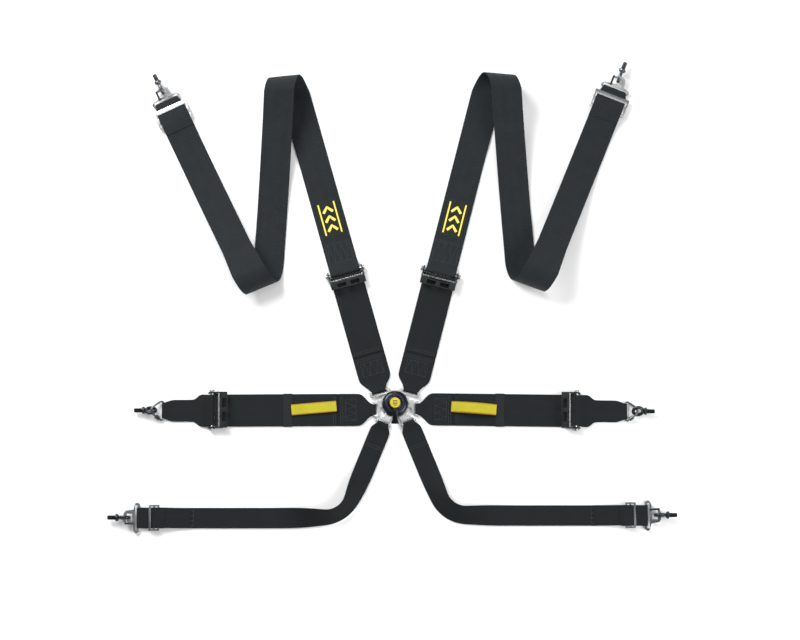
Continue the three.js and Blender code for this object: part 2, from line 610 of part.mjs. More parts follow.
// The slack webbing beyond the adjuster, laid in a Z: up, over and down, over again and up to the
// slide. The leg that comes off the top of a fold sinks back to the surface along its way.
function makeSlackWebbing(place) {
  const half = WEB.wide / 2;
  const heading = new THREE.Vector3(cos(place.heading), sin(place.heading), 0);
  const pin = flat(place.bar, 0).addScaledVector(heading, place.pinRun);
  const topStart = pin.clone().addScaledVector(heading, place.legRun);
  const [topEnd, lowStart, lowEnd, slide] = [place.topEnd, place.lowStart, place.lowEnd, place.slide]
    .map((point) => flat(point, 0));
  const down = lowStart.clone().sub(topEnd).normalize();
  const out = slide.clone().sub(lowEnd).normalize();
  const turned = (direction) => new THREE.Vector3(-direction.y, direction.x, 0);
  const sink = (share) => FOLD.floor + FOLD.height * (1 - ease(share, -0.25, 0.7));
  const stations = [];
  const pinPath = [[STRAP_LAP + 4, LAYER_LOW], [26, LAYER_LOW],
    ...arc(0, ADJUSTER.axis, PIN_LOOP, -90, -270), [14, 12], [28, FOLD.floor + 1.2],
    [46, FOLD.floor], [place.legRun * 0.5, FOLD.floor], [place.legRun - 70, FOLD.floor]];
  for (const [run, height] of pinPath) {
    const centre = pin.clone().addScaledVector(heading, run).setZ(height);
    stations.push({ centre, across: turned(heading), half });
  }
  stations.push(...fold(topStart, topEnd, heading, down, half));
  for (const share of [0.16, 0.32, 0.48, 0.64, 0.84]) {
    const centre = topEnd.clone().lerp(lowStart, share).setZ(sink(share));
    stations.push({ centre, across: turned(down).negate(), half });
  }
  stations.push(...fold(lowStart, lowEnd, down, out, half, place.lowTurn).map((station) => ({
    ...station, across: station.across.negate(),
  })));
  for (const share of [0.16, 0.32, 0.48, 0.64, 0.8]) {
    const centre = lowEnd.clone().lerp(slide, share).setZ(Math.max(sink(share), LAYER_HIGH));
    stations.push({ centre, across: turned(out), half });
  }
  for (const [run, height] of anchorPath(SLIDE)) {
    const centre = slide.clone().addScaledVector(out, run).setZ(height);
    stations.push({ centre, across: turned(out), half: bunched(run, half) });
  }
  return { geometry: ribbon(stations), pin, slide, out };
}

// The strap gathers from its full width at the slide to the hook's bar.
function bunched(run, half) {
  return mix(half, Math.min(half, HOOK.strap / 2), ease(run, SLIDE.length / 2 - 4, HOOK_AT - 6));
}

function addShoulder(parent, place) {
  const name = `shoulder_${place.side}`;
  const strap = frameAt(parent, ...place.bar, place.heading);
  put(strap, `${name}_tongue`, makeTongue(place, 24, 24), 'silver', [0, 0, BAR_AXIS]);
  put(strap, `${name}_belt`, belt(place, 18), 'webbing', [0, 0, BAR_AXIS]);
  addAdjuster(strap, name, place.pinRun);
  const { geometry, slide, out } = makeSlackWebbing(place);
  const inStrap = geometry.applyMatrix4(strap.matrixWorld.clone().invert());
  put(strap, `${name}_webbing`, inStrap, 'webbing', [place.pinRun, 0, ADJUSTER.axis]);
  const heading = THREE.MathUtils.radToDeg(Math.atan2(out.y, out.x));
  const end = addHookEnd(parent, name, slide.x, slide.y, heading);
  put(end, `${name}_slide`, makeSlide(WEB.wide, SLIDE), 'silver');
}

// ---- Lap straps ----
function makeEndStrap(pinRun) {
  const linkRun = END_STRAP.end;
  const { flap, chamferEnd, narrow, taperStart, tip, flapWidth } = END_STRAP;
  const halfAt = (run) => {
    if (run < 12) return WEB.wide / 2;
    if (run < flap) return mix(WEB.wide, flapWidth, ease(run, 10, 18)) / 2;
    const chamfered = Math.min((run - flap) / (chamferEnd - flap), 1);
    if (run < taperStart) return mix(flapWidth, narrow, chamfered) / 2;
    return mix(narrow, tip, Math.min((run - taperStart) / (linkRun - taperStart), 1)) / 2;
  };
  const upper = LAYER_HIGH + 0.4;
  const path = [
    [STRAP_LAP, LAYER_LOW], [chamferEnd, LAYER_LOW], [flap, LAYER_LOW], [18, LAYER_LOW + 1.6],
    ...arc(0, ADJUSTER.axis, PIN_LOOP, -90, -270), [13, 11], [22, upper + 1.6], [flap, upper],
    [chamferEnd, upper], [STRAP_LAP + 10, upper], [taperStart, upper], [linkRun - 9, upper + 2.6],
    ...arc(linkRun, LINK.axis, LINK_LOOP, 90, -90), [linkRun - 12, LAYER_LOW],
    [taperStart, LAYER_LOW], [STRAP_LAP + 10, LAYER_LOW],
  ];
  return ribbon(straight(path, halfAt)).translate(pinRun, 0, 0);
}

// A closed wire triangle with its base bar on the Y axis and its rounded tip along +X.
function makeLink() {
  const { wire: radius, half, tip, run, corner, lean } = LINK;
  const tipX = run - tip;
  const points = [];
  const add = (x, y) => points.push(new THREE.Vector3(x, y, 0));
  arc(corner, corner - half, corner, 180, 270 + lean, 4).forEach(([x, y]) => add(x, y));
  arc(tipX, 0, tip, lean - 90, 90 - lean, 8).forEach(([x, y]) => add(x, y));
  arc(corner, half - corner, corner, 90 - lean, 180, 4).forEach(([x, y]) => add(x, y));
  return wire(points, radius, 8, true);
}

// A tube about X.
function makeSleeve() {
  const bore = LINK.wire + GAP;
  const half = SLEEVE.length / 2;
  return revolve([[bore, -half], [SLEEVE.outer, -half], [SLEEVE.outer, half], [bore, half]], 12)
    .rotateY(Math.PI / 2);
}

// A folded band sewn to the belt at its outer end; its free loop lies towards the buckle.
function makePullLoop({ pullArch, pullTurn }) {
  const low = PULL_FLOOR + PULL.thickness / 2;
  const high = low + PULL.thickness + GAP + 0.4;
  const nose = (high - low) / 2;
  const crest = (share) => pullArch * sin(180 * share);
  const upper = [0.1, 0.25, 0.4, 0.55, 0.7, 0.85, 1];
  const path = [[0, low], [-PULL_RUN * 0.5, low], [-PULL_RUN + nose, low],
    ...arc(-PULL_RUN + nose, low + nose, nose, -90, -270, 4),
    ...upper.map((share) => [mix(-PULL_RUN + nose, 0, share), high + crest(share)])];
  return ribbon(straight(path, () => PULL.width / 2), PULL.thickness).rotateZ(rad(pullTurn));
}

function addLap(parent, place) {
  const name = `lap_${place.side}`;
  const strap = frameAt(parent, ...place.bar, place.heading);
  put(strap, `${name}_tongue`, makeTongue(place, 19, 12), 'silver', [0, 0, BAR_AXIS]);
  put(strap, `${name}_belt`, belt(place, 13), 'webbing', [0, 0, BAR_AXIS]);
  addAdjuster(strap, name, place.pinRun);
  put(strap, `${name}_pull_loop`, makePullLoop(place).translate(place.pullEnd, 0, 0), 'pull',
    [place.pullEnd, 0, PULL_FLOOR + PULL.thickness / 2]);
  put(strap, `${name}_end_strap`, makeEndStrap(place.pinRun), 'webbing',
    [place.pinRun, 0, ADJUSTER.axis]);
  const linkRun = place.pinRun + END_STRAP.end;
  const ringHeight = EYE.ring * sin(LINK.ringTilt) + EYE.wire + GAP;
  const wireRun = LINK.run - LINK.seat;
  const tilt = Math.asin((ringHeight - LINK.axis) / LINK.run);
  const tilted = new THREE.Group();
  tilted.position.set(linkRun, 0, LINK.axis);
  tilted.rotation.y = -tilt;
  strap.add(tilted);
  put(tilted, `${name}_link`, makeLink(), 'dark');
  const lean = Math.atan2(armRise(), armLength());
  const sleeve = put(tilted, `${name}_link_sleeve`, makeSleeve(), 'dark');
  sleeve.position.set(armMiddle(), place.side === 'left' ? armHeight() : -armHeight(), 0);
  sleeve.rotation.z = place.side === 'left' ? -lean : lean;
  const nearWire = linkRun + wireRun * Math.cos(tilt);
  const bolt = makeEyeBolt(LINK.ringTilt).translate(nearWire + EYE.ring, 0, ringHeight);
  put(strap, `${name}_eye_bolt`, bolt, 'dark', [nearWire, 0, ringHeight]);
}

// The straight stretch of the link's arm, between its corner and its tip.
function armEnds() {
  const { half, run, tip, corner, lean } = LINK;
  return {
    near: [corner + corner * cos(90 - lean), half - corner + corner * sin(90 - lean)],
    far: [run - tip + tip * cos(90 - lean), tip * sin(90 - lean)],
  };
}
const armLength = () => armEnds().far[0] - armEnds().near[0];
const armRise = () => armEnds().near[1] - armEnds().far[1];
const armMiddle = () => (armEnds().far[0] + armEnds().near[0]) / 2;
const armHeight = () => (armEnds().far[1] + armEnds().near[1]) / 2;

// ---- Crotch straps ----
// The strap leaves its tongue on a slant, then turns to run level below the lap belt. In the turn
// it leans on its outer edge.
function makeCrotchStrap(place) {
  const { radius, steps, easeIn, easeOut } = CROTCH_BEND;
  const half = WEB.narrow / 2;
  const hand = Math.sign(place.slide);
  const finalHeading = hand > 0 ? 360 : 180;
  const turn = finalHeading - place.heading;
  const start = flat(place.bar, 0);
  const first = new THREE.Vector3(cos(place.heading), sin(place.heading), 0);
  const level = new THREE.Vector3(hand, 0, 0);
  const cornerRun = (place.cross - start.y) / first.y;
  const cornerPoint = start.clone().addScaledVector(first, cornerRun);
  const tangent = radius * Math.tan(rad(Math.abs(turn) / 2));
  const bendStart = cornerRun - tangent;
  const bendLength = radius * rad(Math.abs(turn));
  const bankAt = (run) => place.bank * ease(run, bendStart - easeIn, bendStart + bendLength * 0.4)
    * (1 - ease(run, bendStart + bendLength * 0.6, bendStart + bendLength + easeOut));
  const stations = [];
  const add = (point, direction, run, height, width) => {
    const bank = bankAt(run) * hand;
    const across = new THREE.Vector3(-direction.y * cos(bank), direction.x * cos(bank), sin(bank));
    const lift = height + width * Math.abs(sin(bank));
    stations.push({ centre: point.clone().setZ(lift), across, half: width });
  };
  const barHalf = 14;
  const startPath = [[STRAP_LAP, LAYER_LOW], [34, LAYER_LOW], [20, LAYER_LOW], [10, LAYER_LOW],
    ...tongueLoop(), [6, BAR_AXIS + BAR_LOOP - 1.2], [14, LAYER_HIGH + 2], [24, LAYER_HIGH],
    [STRAP_LAP + 6, LAYER_HIGH]];
  for (const [run, height] of startPath) {
    add(start.clone().addScaledVector(first, run), first, 0, height, mix(barHalf, half, ease(run, 2, 16)));
  }
  for (const share of [0.25, 0.5, 0.75]) {
    const run = mix(STRAP_LAP + 6, bendStart, share);
    add(start.clone().addScaledVector(first, run), first, run, FOLD.floor, half);
  }
  const centre = cornerPoint.clone().addScaledVector(first, -tangent)
    .addScaledVector(new THREE.Vector3(-first.y, first.x, 0), Math.sign(turn) * radius);
  for (let i = 0; i <= steps; i += 1) {
    const angle = place.heading + (turn * i) / steps;
    const direction = new THREE.Vector3(cos(angle), sin(angle), 0);
    const point = centre.clone()
      .addScaledVector(new THREE.Vector3(-direction.y, direction.x, 0), -Math.sign(turn) * radius);
    add(point, direction, bendStart + (bendLength * i) / steps, FOLD.floor, half);
  }
  const bendEnd = cornerPoint.x + hand * tangent;
  const levelStart = bendStart + bendLength;
  const farRun = Math.abs(place.slide - bendEnd) - SLIDE.length / 2 - 60;
  for (const run of [30, 60, 90, 125, mix(125, farRun, 0.5), farRun]) {
    add(new THREE.Vector3(bendEnd + hand * run, place.cross, 0), level, levelStart + run,
      LAYER_HIGH, half);
  }
  for (const [run, height] of anchorPath(SLIM_SLIDE)) {
    add(new THREE.Vector3(place.slide + hand * run, place.cross, 0), level, Infinity, height,
      bunched(run, half));
  }
  return ribbon(stations);
}

function addCrotch(parent, place) {
  const name = `crotch_${place.side}`;
  const strap = frameAt(parent, ...place.bar, place.heading);
  put(strap, `${name}_tongue`, makeTongue(place, 20, 12), 'silver', [0, 0, BAR_AXIS]);
  const geometry = makeCrotchStrap(place).applyMatrix4(strap.matrixWorld.clone().invert());
  put(strap, `${name}_strap`, geometry, 'webbing', [0, 0, BAR_AXIS]);
  const heading = place.slide > 0 ? 0 : 180;
  const end = addHookEnd(parent, name, place.slide, place.cross, heading);
  put(end, `${name}_slide`, makeSlide(WEB.narrow, SLIM_SLIDE), 'silver');
}

// ---- The whole harness ----
const harness = new THREE.Group();
makeBuckle(harness);
SHOULDERS.forEach((place) => addShoulder(harness, place));
LAPS.forEach((place) => addLap(harness, place));
CROTCHES.forEach((place) => addCrotch(harness, place));

export default harness;
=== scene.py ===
"""A six-point racing harness laid out flat: its webbing, stitching, labels, metalwork and finishes.

Lengths are in millimetres until a mesh is made. Pieces are placed from the frame's joints, the buckle's
from its origin.
"""

import json
import math

import bmesh
import bpy
import numpy as np
from mathutils import Matrix, Vector

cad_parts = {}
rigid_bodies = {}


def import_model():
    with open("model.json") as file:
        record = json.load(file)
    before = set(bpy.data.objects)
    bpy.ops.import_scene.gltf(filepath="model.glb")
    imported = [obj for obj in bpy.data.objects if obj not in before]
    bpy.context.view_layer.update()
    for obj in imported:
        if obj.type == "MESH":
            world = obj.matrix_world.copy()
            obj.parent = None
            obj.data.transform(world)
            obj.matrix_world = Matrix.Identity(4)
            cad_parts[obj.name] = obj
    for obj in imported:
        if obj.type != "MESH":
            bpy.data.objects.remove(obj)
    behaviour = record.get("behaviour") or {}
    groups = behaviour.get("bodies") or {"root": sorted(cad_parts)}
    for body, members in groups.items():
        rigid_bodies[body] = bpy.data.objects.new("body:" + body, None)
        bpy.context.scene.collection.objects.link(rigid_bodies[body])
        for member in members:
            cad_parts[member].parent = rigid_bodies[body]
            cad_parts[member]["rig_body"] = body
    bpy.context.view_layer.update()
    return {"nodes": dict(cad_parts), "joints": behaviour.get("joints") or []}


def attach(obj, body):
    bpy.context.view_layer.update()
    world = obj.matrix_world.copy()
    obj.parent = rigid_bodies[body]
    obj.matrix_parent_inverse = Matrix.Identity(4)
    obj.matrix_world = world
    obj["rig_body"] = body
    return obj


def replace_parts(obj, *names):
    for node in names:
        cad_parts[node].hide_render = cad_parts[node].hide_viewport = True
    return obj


MM = 0.001

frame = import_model()
nodes = frame["nodes"]
joints = {joint["name"]: joint for joint in frame["joints"]}

# ---- Sizes, in millimetres ----
THICK = 1.6  # webbing
WIDE = 75.0
BELT = 80.0
NARROW = 50.0
GAP = 0.4
HALF_THICK = THICK / 2
BAR_AXIS = 5.5
BAR_LOOP = math.hypot(5, 3) / 2 + GAP + HALF_THICK
LOW = BAR_AXIS - BAR_LOOP  # centre of the webbing's lower layer
HIGH = LOW + THICK + GAP + 0.1  # and of the layer on it
ADJUSTER_AXIS = 11.0
LOCK_LOOP = 5 + GAP + HALF_THICK
PIN_LOOP = 4 + GAP + HALF_THICK
PIN_AHEAD = 14.0
LOCK_CLIMB = math.radians(35)  # of the belt's last rise to the lock bar
BAR_HALF = {"shoulder": 18, "lap": 13, "crotch": 14}  # half width of a strap in its tongue
HOOK_AXIS = 6.0
HOOK_LOOP = math.hypot(5, 3.5) / 2 + GAP + HALF_THICK
HOOK_AT = 38.0  # from the slide's middle to the hook's bar
HOOK_STRAP = 60.0
LINK_AXIS = 5.2
LINK_LOOP = 2.5 + GAP + HALF_THICK
SLIDE = {"length": 48.0, "thickness": 2.5, "outer_bar": 11.0, "centre_bar": 10.0}
SLIM_SLIDE = {"length": 26.0, "outer_bar": 5.0, "centre_bar": 5.0}
SLIDE_TOP = HOOK_AXIS + HOOK_LOOP + HALF_THICK + GAP + SLIDE["thickness"]
STRAP_LAP = 60.0  # a sewn-back end
PULL_RUN = 111.0
PULL_WIDTH = 27.0
FOLD = {"reach": 40.0, "height": 70.0, "floor": 3.4, "steps": 12}
END_STRAP = {"flap": 31, "chamfer": 43, "narrow": 54, "taper": 99, "end": 120, "tip": 38}
BEND = {"radius": 72.0, "steps": 8, "ease_in": 95.0, "ease_out": 120.0}

# Where each shoulder strap's two folds of slack webbing begin and end, beyond the adjuster.
SLACK = {
    "left": {"leg": 475, "top_end": (-289, 783), "low_start": (-316, 328), "low_end": (-361, 320),
             "line_turn": 12},
    "right": {"leg": 481, "top_end": (277, 789), "low_start": (313, 334), "low_end": (362, 326),
              "line_turn": -12},
}
HEM = {"shoulder_left": 95, "shoulder_right": 95, "lap_left": 89, "lap_right": 90}
PULL_ARCH = {"left": 1.0, "right": 9.0}
PULL_TURN = {"left": 4.6, "right": -3.5}
BANK = {"left": 50.0, "right": 34.0}
PULL_SHARES = (0.1, 0.25, 0.4, 0.55, 0.7, 0.85, 1)  # stations of a pull band's arched upper layer
DOWN_SHARES = (0.16, 0.32, 0.48, 0.64, 0.84)  # between the two folds
OUT_SHARES = (0.16, 0.32, 0.48, 0.64, 0.8)  # and from the lower fold to the slide
LEVEL_RUNS = (30, 60, 90, 125)  # and past a crotch strap's turn
SEWN_IN = 6  # from a selvedge to the stitches
WIDE_PITCH = 4.4  # of the stitches in the wide straps
NARROW_PITCH = 4.2  # and in the crotch straps
HEM_ROWS = (-7, -12, 6, 11)  # stitched rows about the hem
UPPER_SEWN = {"box": (30, 78), "rows": (26, 82)}
TURNED_BACK = {"past_hook": 18, "length": 50}
CROTCH_END = {"from_hook": 118, "box": (-16, 22), "length": 62, "offset": 0.6}
KEEPER = {"width": 22.0, "thick": 0.9, "room": 1.0, "back": 9}
LABEL = {"width": 57.0, "length": 97.0, "at": 143.0, "thick": 0.5, "seam": 2, "margin": 8}
MARK = {"line_at": 20, "line": 3.8, "chevron": 6.5, "pitch": 24, "reach": 12, "back": 8, "ahead": 6}

CAP = {"radius": 32.0, "top": 24.0, "floor": 7.6, "crown": 11.0, "hole": 9.5, "wall": 2.0}
HUB = {"radius": 19.0, "top_radius": 15.0, "floor": 24.4, "top": 31.4}
BADGE = {"radius": 12.5, "floor": 31.5, "top": 32.6}
BADGE_BARS = (  # place across, place up and length
    (0, 4.6, 11), (-3.2, 1.2, 4.4), (3.2, 1.2, 4.4), (0, -2.4, 11), (0, -6.4, 7))
LEVER_SECTIONS = (  # distance from the hub's centre, width, middle height, thickness
    (6, 15.0, 28.4, 5.6), (14, 14.0, 28.4, 5.8), (20, 12.8, 28.2, 5.6), (26, 12.2, 27.6, 5.2),
    (31, 12.0, 25.9, 5.0), (36, 12.2, 23.0, 4.8), (40, 13.2, 20.0, 4.8), (43, 15.4, 17.8, 4.8),
    (46, 17.6, 16.4, 4.8), (48.5, 18.8, 15.6, 4.6), (50, 18.2, 15.2, 3.8), (50.6, 16.6, 15.1, 2.6))
ADJUSTER = {"inside": 41.5, "cheek": 3.0, "bar": 5.0, "bar_rows": 110, "end": 3.0, "grip": 1.9,
            "grip_rows": 150, "grip_height": 10.0, "grip_back": 3.4}
BAR_KNURL = {"pitch": 3.0, "depth": 0.6, "turns": 10}
GRIP_KNURL = {"pitch": 6.0, "depth": 0.75, "turns": 4}
EYE = {"wire": 4.15, "ring": 11.75, "collar": 9.0, "collar_height": 6.2, "shank": 5.55,
       "thread": 20.0, "pitch": 1.27, "depth": 0.75}
EYE_TILT = {"shoulder": 90, "lap": 50, "crotch": 90}  # degrees, of each ring about its own shank

LOFT_POWER = 2 / 3.2  # 1 makes an ellipse, and 0 a sharp rectangle
BEVEL = 0.45  # rounding of the CAD pieces' edges
BEVEL_FROM = math.radians(28)  # least turn between faces that is rounded
FLAT_WITHIN = math.radians(0.8)  # faces this close to flat are merged
SHARP_FROM = math.radians(34)  # least turn that is shaded sharp

FLOOR_HALF = 14.0  # metres, as are the places below
WORLD_STRENGTH = 0.25
LAMPS_AIM = (0.0, 0.2, 0.0)
LAMPS = (  # name, place, size, watts
    ("key", (-1.9, 2.3, 2.5), 2.0, 165.0), ("fill", (2.5, -1.2, 2.3), 2.4, 100.0),
    ("top", (0.2, 0.9, 3.6), 2.0, 18.0))
CAMERA = {"elevation": 80, "distance": 6.0, "target": (0.012, 0.211, 0.0), "sensor": 36.0,
          "lens": 108.9}
UP = Vector((0, 0, 1))


# ---- Small sums ----
def mix(start, end, share):
    return start + (end - start) * share


def ease(value, start, end):
    share = min(max((value - start) / (end - start), 0.0), 1.0)
    return share * share * (3 - 2 * share)


def arc(run, height, radius, start, end, steps=8):
    angles = [math.radians(mix(start, end, i / steps)) for i in range(steps + 1)]
    return [(run + radius * math.cos(a), height + radius * math.sin(a)) for a in angles]


def place(joint_name):
    """A joint's place and the heading of the strap that it sits across, both in the frame."""
    joint = joints[joint_name]
    axis = Vector(joint["axis"])
    return Vector(joint["pos_m"]) / MM, Vector((-axis.y, axis.x, 0)).normalized()


def sideways(direction):
    return Vector((-direction.y, direction.x, 0))


TONGUE_LOOP = arc(0, BAR_AXIS, BAR_LOOP, -90, -270)


# ---- Webbing ----
class Band:
    """A band of webbing through stations of centre, direction across and half width."""

    SHORT = 1.0  # spacing of the samples it is worked out on
    TIGHT = 2  # samples each side that a tight turn is smoothed over
    SOFT = 11  # and a gentle one
    LONGEST = 9.0  # most between two rows of the mesh
    TURN = math.radians(4)  # most turn between two rows
    WIDENED = 0.6  # and most change of half width
    FAR = 1e4  # added to the distance of a face turned down
    NEAR = 9  # samples each side in which a hard turn is looked for
    HARD = (0.7, 1.6)  # distance that soft smoothing moves a gentle and a hard turn

    def __init__(self, stations, thick=THICK):
        self.thick = thick
        rows = np.array([[*centre, *across, half] for centre, across, half in stations])
        self.rows = self._smoothed(self._resampled(rows))
        self.run = self._lengths(self.rows)
        along = np.gradient(self.rows[:, :3], axis=0)
        self.along = along / np.linalg.norm(along, axis=1, keepdims=True)
        normal = np.cross(self.along, self.rows[:, 3:6])
        self.normal = normal / np.linalg.norm(normal, axis=1, keepdims=True)

    @staticmethod
    def _lengths(rows):
        steps = np.linalg.norm(np.diff(rows[:, :3], axis=0), axis=1)
        return np.concatenate([[0], np.cumsum(steps)])

    def _resampled(self, rows):
        run = self._lengths(rows)
        count = int(run[-1] / self.SHORT) + 1
        even = np.linspace(0, run[-1], count)
        return np.stack([np.interp(even, run, rows[:, k]) for k in range(rows.shape[1])], axis=1)

    @staticmethod
    def _blurred(rows, reach):
        reach = min(reach, len(rows) - 1)
        padded = np.concatenate([
            2 * rows[:1] - rows[reach:0:-1], rows, 2 * rows[-1:] - rows[-2:-reach - 2:-1]])
        kernel = np.hanning(2 * reach + 3)[1:-1]
        kernel /= kernel.sum()
        return np.stack(
            [np.convolve(padded[:, k], kernel, "valid") for k in range(rows.shape[1])], axis=1)

    def _smoothed(self, rows):
        tight = self._blurred(rows, self.TIGHT)
        soft = self._blurred(rows, self.SOFT)
        off = np.linalg.norm(soft[:, :3] - rows[:, :3], axis=1)
        near = self.NEAR
        spread = np.array([off[max(i - near, 0):i + near + 1].max() for i in range(len(off))])
        gentle, firm = self.HARD
        hard = np.clip((spread - gentle) / (firm - gentle), 0, 1)[:, None]
        return tight * hard + soft * (1 - hard)

    def chosen(self):
        """Samples that the mesh's rows stand on: close together only where the band turns."""
        picked = [0]
        for i in range(1, len(self.run) - 1):
            last = picked[-1]
            turn = math.acos(max(-1.0, min(1.0, float(self.along[i] @ self.along[last]))))
            widened = abs(self.rows[i, 6] - self.rows[last, 6])
            if (turn > self.TURN or widened > self.WIDENED
                    or self.run[i] - self.run[last] > self.LONGEST):
                picked.append(i)
        return picked + [len(self.run) - 1]

    def at(self, u, run, lift=0.0):
        """A point on the band's upper face: u across and run along, raised by lift."""
        values = [np.interp(run, self.run, column) for column in self.rows.T]
        centre, across = Vector(values[:3]), Vector(values[3:6])
        normal = Vector([np.interp(run, self.run, column) for column in self.normal.T])
        return centre + across * u + normal.normalized() * (self.thick / 2 + lift)

    def run_at(self, start, heading, distance, height):
        """The run of the face turned up that is nearest to a place beyond a joint."""
        spot = start + heading * distance
        away = np.linalg.norm(self.rows[:, :3] - np.array((spot.x, spot.y, height)), axis=1)
        away = away + np.where(self.normal[:, 2] > 0, 0, self.FAR)
        return float(self.run[int(away.argmin())])

    def up_at(self, run):
        index = min(int(np.searchsorted(self.run, run)), len(self.run) - 1)
        return Vector(self.normal[index])


COLUMNS = 12  # across one face of a band
SELVEDGE_IN = 0.32  # how far a selvedge draws in, as a share of the thickness
SELVEDGE_THIN = 0.86  # and its thickness there
SHADED_SHARP = math.radians(50)


def band_mesh(name, band, body, finish):
    """A closed band with rounded selvedges, its UV map in metres across and along."""
    shares = [mix(-1, 1, i / COLUMNS) for i in range(COLUMNS + 1)]
    section = [(s, 1) for s in shares] + [(1, 0)] + [(s, -1) for s in reversed(shares)] + [(-1, 0)]
    inset = band.thick * SELVEDGE_IN
    points, uvs, faces = [], [], []
    picked = band.chosen()
    for i in picked:
        centre, across = band.rows[i, :3], band.rows[i, 3:6]
        half = band.rows[i, 6]
        for share, face in section:
            edge = abs(share) == 1
            reach = share * (half - (inset if edge and face else 0))
            swell = SELVEDGE_THIN if edge else 1.0
            offset = face * band.thick / 2 * swell
            points.append(centre + across * reach + band.normal[i] * offset)
            uvs.append((reach * MM, band.run[i] * MM))
    ring = len(section)
    for row in range(len(picked) - 1):
        for k in range(ring):
            a, b = row * ring + k, row * ring + (k + 1) % ring
            faces.append((a, a + ring, b + ring, b))
    faces.append(tuple(range(ring)))
    last = (len(picked) - 1) * ring
    faces.append(tuple(reversed(range(last, last + ring))))
    return add_mesh(name, points, faces, body, finish, uvs)


def linked(name, data):
    made = bpy.data.objects.new(name, data)
    bpy.context.scene.collection.objects.link(made)
    return made


def add_mesh(name, points, faces, body, finish, uvs=None):
    mesh = bpy.data.meshes.new(name)
    mesh.from_pydata([tuple(float(v) * MM for v in point) for point in points], [], faces)
    mesh.validate()
    if uvs is not None:
        layer = mesh.uv_layers.new(name="strap")
        for loop in mesh.loops:
            layer.data[loop.index].uv = uvs[loop.vertex_index]
    mesh.update()
    piece = linked(name, mesh)
    mesh.materials.append(FINISHES[finish])
    mesh.shade_smooth()
    mesh.set_sharp_from_angle(angle=SHADED_SHARP)
    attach(piece, body)
    return piece


def straight(origin, heading, path, half_at):
    """Stations of a band that runs straight from origin; the path is (run, height) pairs."""
    across = sideways(heading)
    stations = []
    for run, height in path:
        centre = origin + heading * run
        stations.append((Vector((centre.x, centre.y, height)), across, half_at(run)))
    return stations


def belt_stations(name, bar_half):
    bar, heading = place(f"{name}_belt_lift")
    pin, _ = place(f"{name}_{'webbing' if 'shoulder' in name else 'end_strap'}_swing")
    pin_run = (pin - bar).xy.length
    hem = HEM[name]
    top = arc(pin_run - PIN_AHEAD, ADJUSTER_AXIS, LOCK_LOOP, 125, -90, 12)
    rise = (top[0][1] - HIGH - 1) / math.sin(LOCK_CLIMB)
    foot = top[0][0] - rise * math.cos(LOCK_CLIMB)
    path = [
        (hem + 2, HIGH), (mix(hem, foot, 0.5), HIGH), (foot - 8, HIGH), (foot, HIGH + 1), *top,
        (foot, LOW + 0.3), (foot - 10, LOW), (mix(hem, foot, 0.5), LOW),
        (34, LOW), (22, LOW), (12, LOW), *TONGUE_LOOP,
        (6, BAR_AXIS + BAR_LOOP - 1.2), (14, HIGH + 2), (24, HIGH), (34, HIGH),
        (STRAP_LAP, HIGH), (hem - 3, HIGH),
    ]
    return straight(bar, heading, path, lambda run: mix(bar_half, BELT / 2, ease(run, 4, 34)))


def anchor_path(slide):
    """Over the slide's inner bars, down through its outer slot, round the hook's bar and back."""
    over = SLIDE_TOP + GAP + HALF_THICK
    top = HOOK_AXIS + HOOK_LOOP
    half = slide["length"] / 2
    return [
        (-half - 40, HIGH + 2.4), (-half - 16, over - 4), (-half - 2, over),
        (slide["centre_bar"] / 2, over), (half - slide["outer_bar"], top - 0.1), (half, top - 0.1),
        *arc(HOOK_AT, HOOK_AXIS, HOOK_LOOP, 90, -90),
        (half, LOW + 0.5), (0, LOW + 0.3), (-half - 10, LOW),
    ]


def bunched(run, half):
    return mix(half, min(half, HOOK_STRAP / 2), ease(run, SLIDE["length"] / 2 - 4, HOOK_AT - 6))


def fold(start, end, incoming, outgoing, half, flip=1, line_turn=0.0):
    """One loose turn of the webbing: from start up and over to end, its crest beyond them."""
    crest = (incoming - outgoing).normalized()
    square = Matrix.Rotation(math.radians(line_turn), 3, "Z") @ crest
    across = sideways(square) * flip
    wide = half / abs(square.dot(incoming))
    stations = []
    for i in range(FOLD["steps"] + 1):
        turn = math.pi * i / FOLD["steps"]
        centre = start.lerp(end, i / FOLD["steps"]) + crest * FOLD["reach"] * math.sin(turn)
        centre.z = FOLD["floor"] + FOLD["height"] * (1 - math.cos(turn)) / 2
        stations.append((centre, across, wide))
    return stations


def slack_stations(side):
    """The slack webbing beyond a shoulder adjuster, laid in a Z up to its slide and hook."""
    slack = SLACK[side]
    half = WIDE / 2
    pin, heading = place(f"shoulder_{side}_webbing_swing")
    hook, out = place(f"shoulder_{side}_hook_swing")
    pin.z = 0
    slide = hook - out * HOOK_AT
    slide.z = 0
    top_start = pin + heading * slack["leg"]
    top_end, low_start, low_end = [
        Vector((*slack[key], 0)) for key in ("top_end", "low_start", "low_end")]
    down = (low_start - top_end).normalized()
    floor = FOLD["floor"]

    def sink(share):
        return floor + FOLD["height"] * (1 - ease(share, -0.25, 0.7))

    pin_path = [
        (STRAP_LAP + 4, LOW), (26, LOW), *arc(0, ADJUSTER_AXIS, PIN_LOOP, -90, -270), (14, 12),
        (28, floor + 1.2), (46, floor), (slack["leg"] / 2, floor), (slack["leg"] - 70, floor)]
    stations = straight(pin, heading, pin_path, lambda run: half)
    stations += fold(top_start, top_end, heading, down, half)
    for share in DOWN_SHARES:
        centre = top_end.lerp(low_start, share)
        centre.z = sink(share)
        stations.append((centre, -sideways(down), half))
    stations += fold(low_start, low_end, down, out, half, -1, slack["line_turn"])
    for share in OUT_SHARES:
        centre = low_end.lerp(slide, share)
        centre.z = max(sink(share), HIGH)
        stations.append((centre, sideways(out), half))
    return stations + straight(slide, out, anchor_path(SLIDE), lambda run: bunched(run, half))


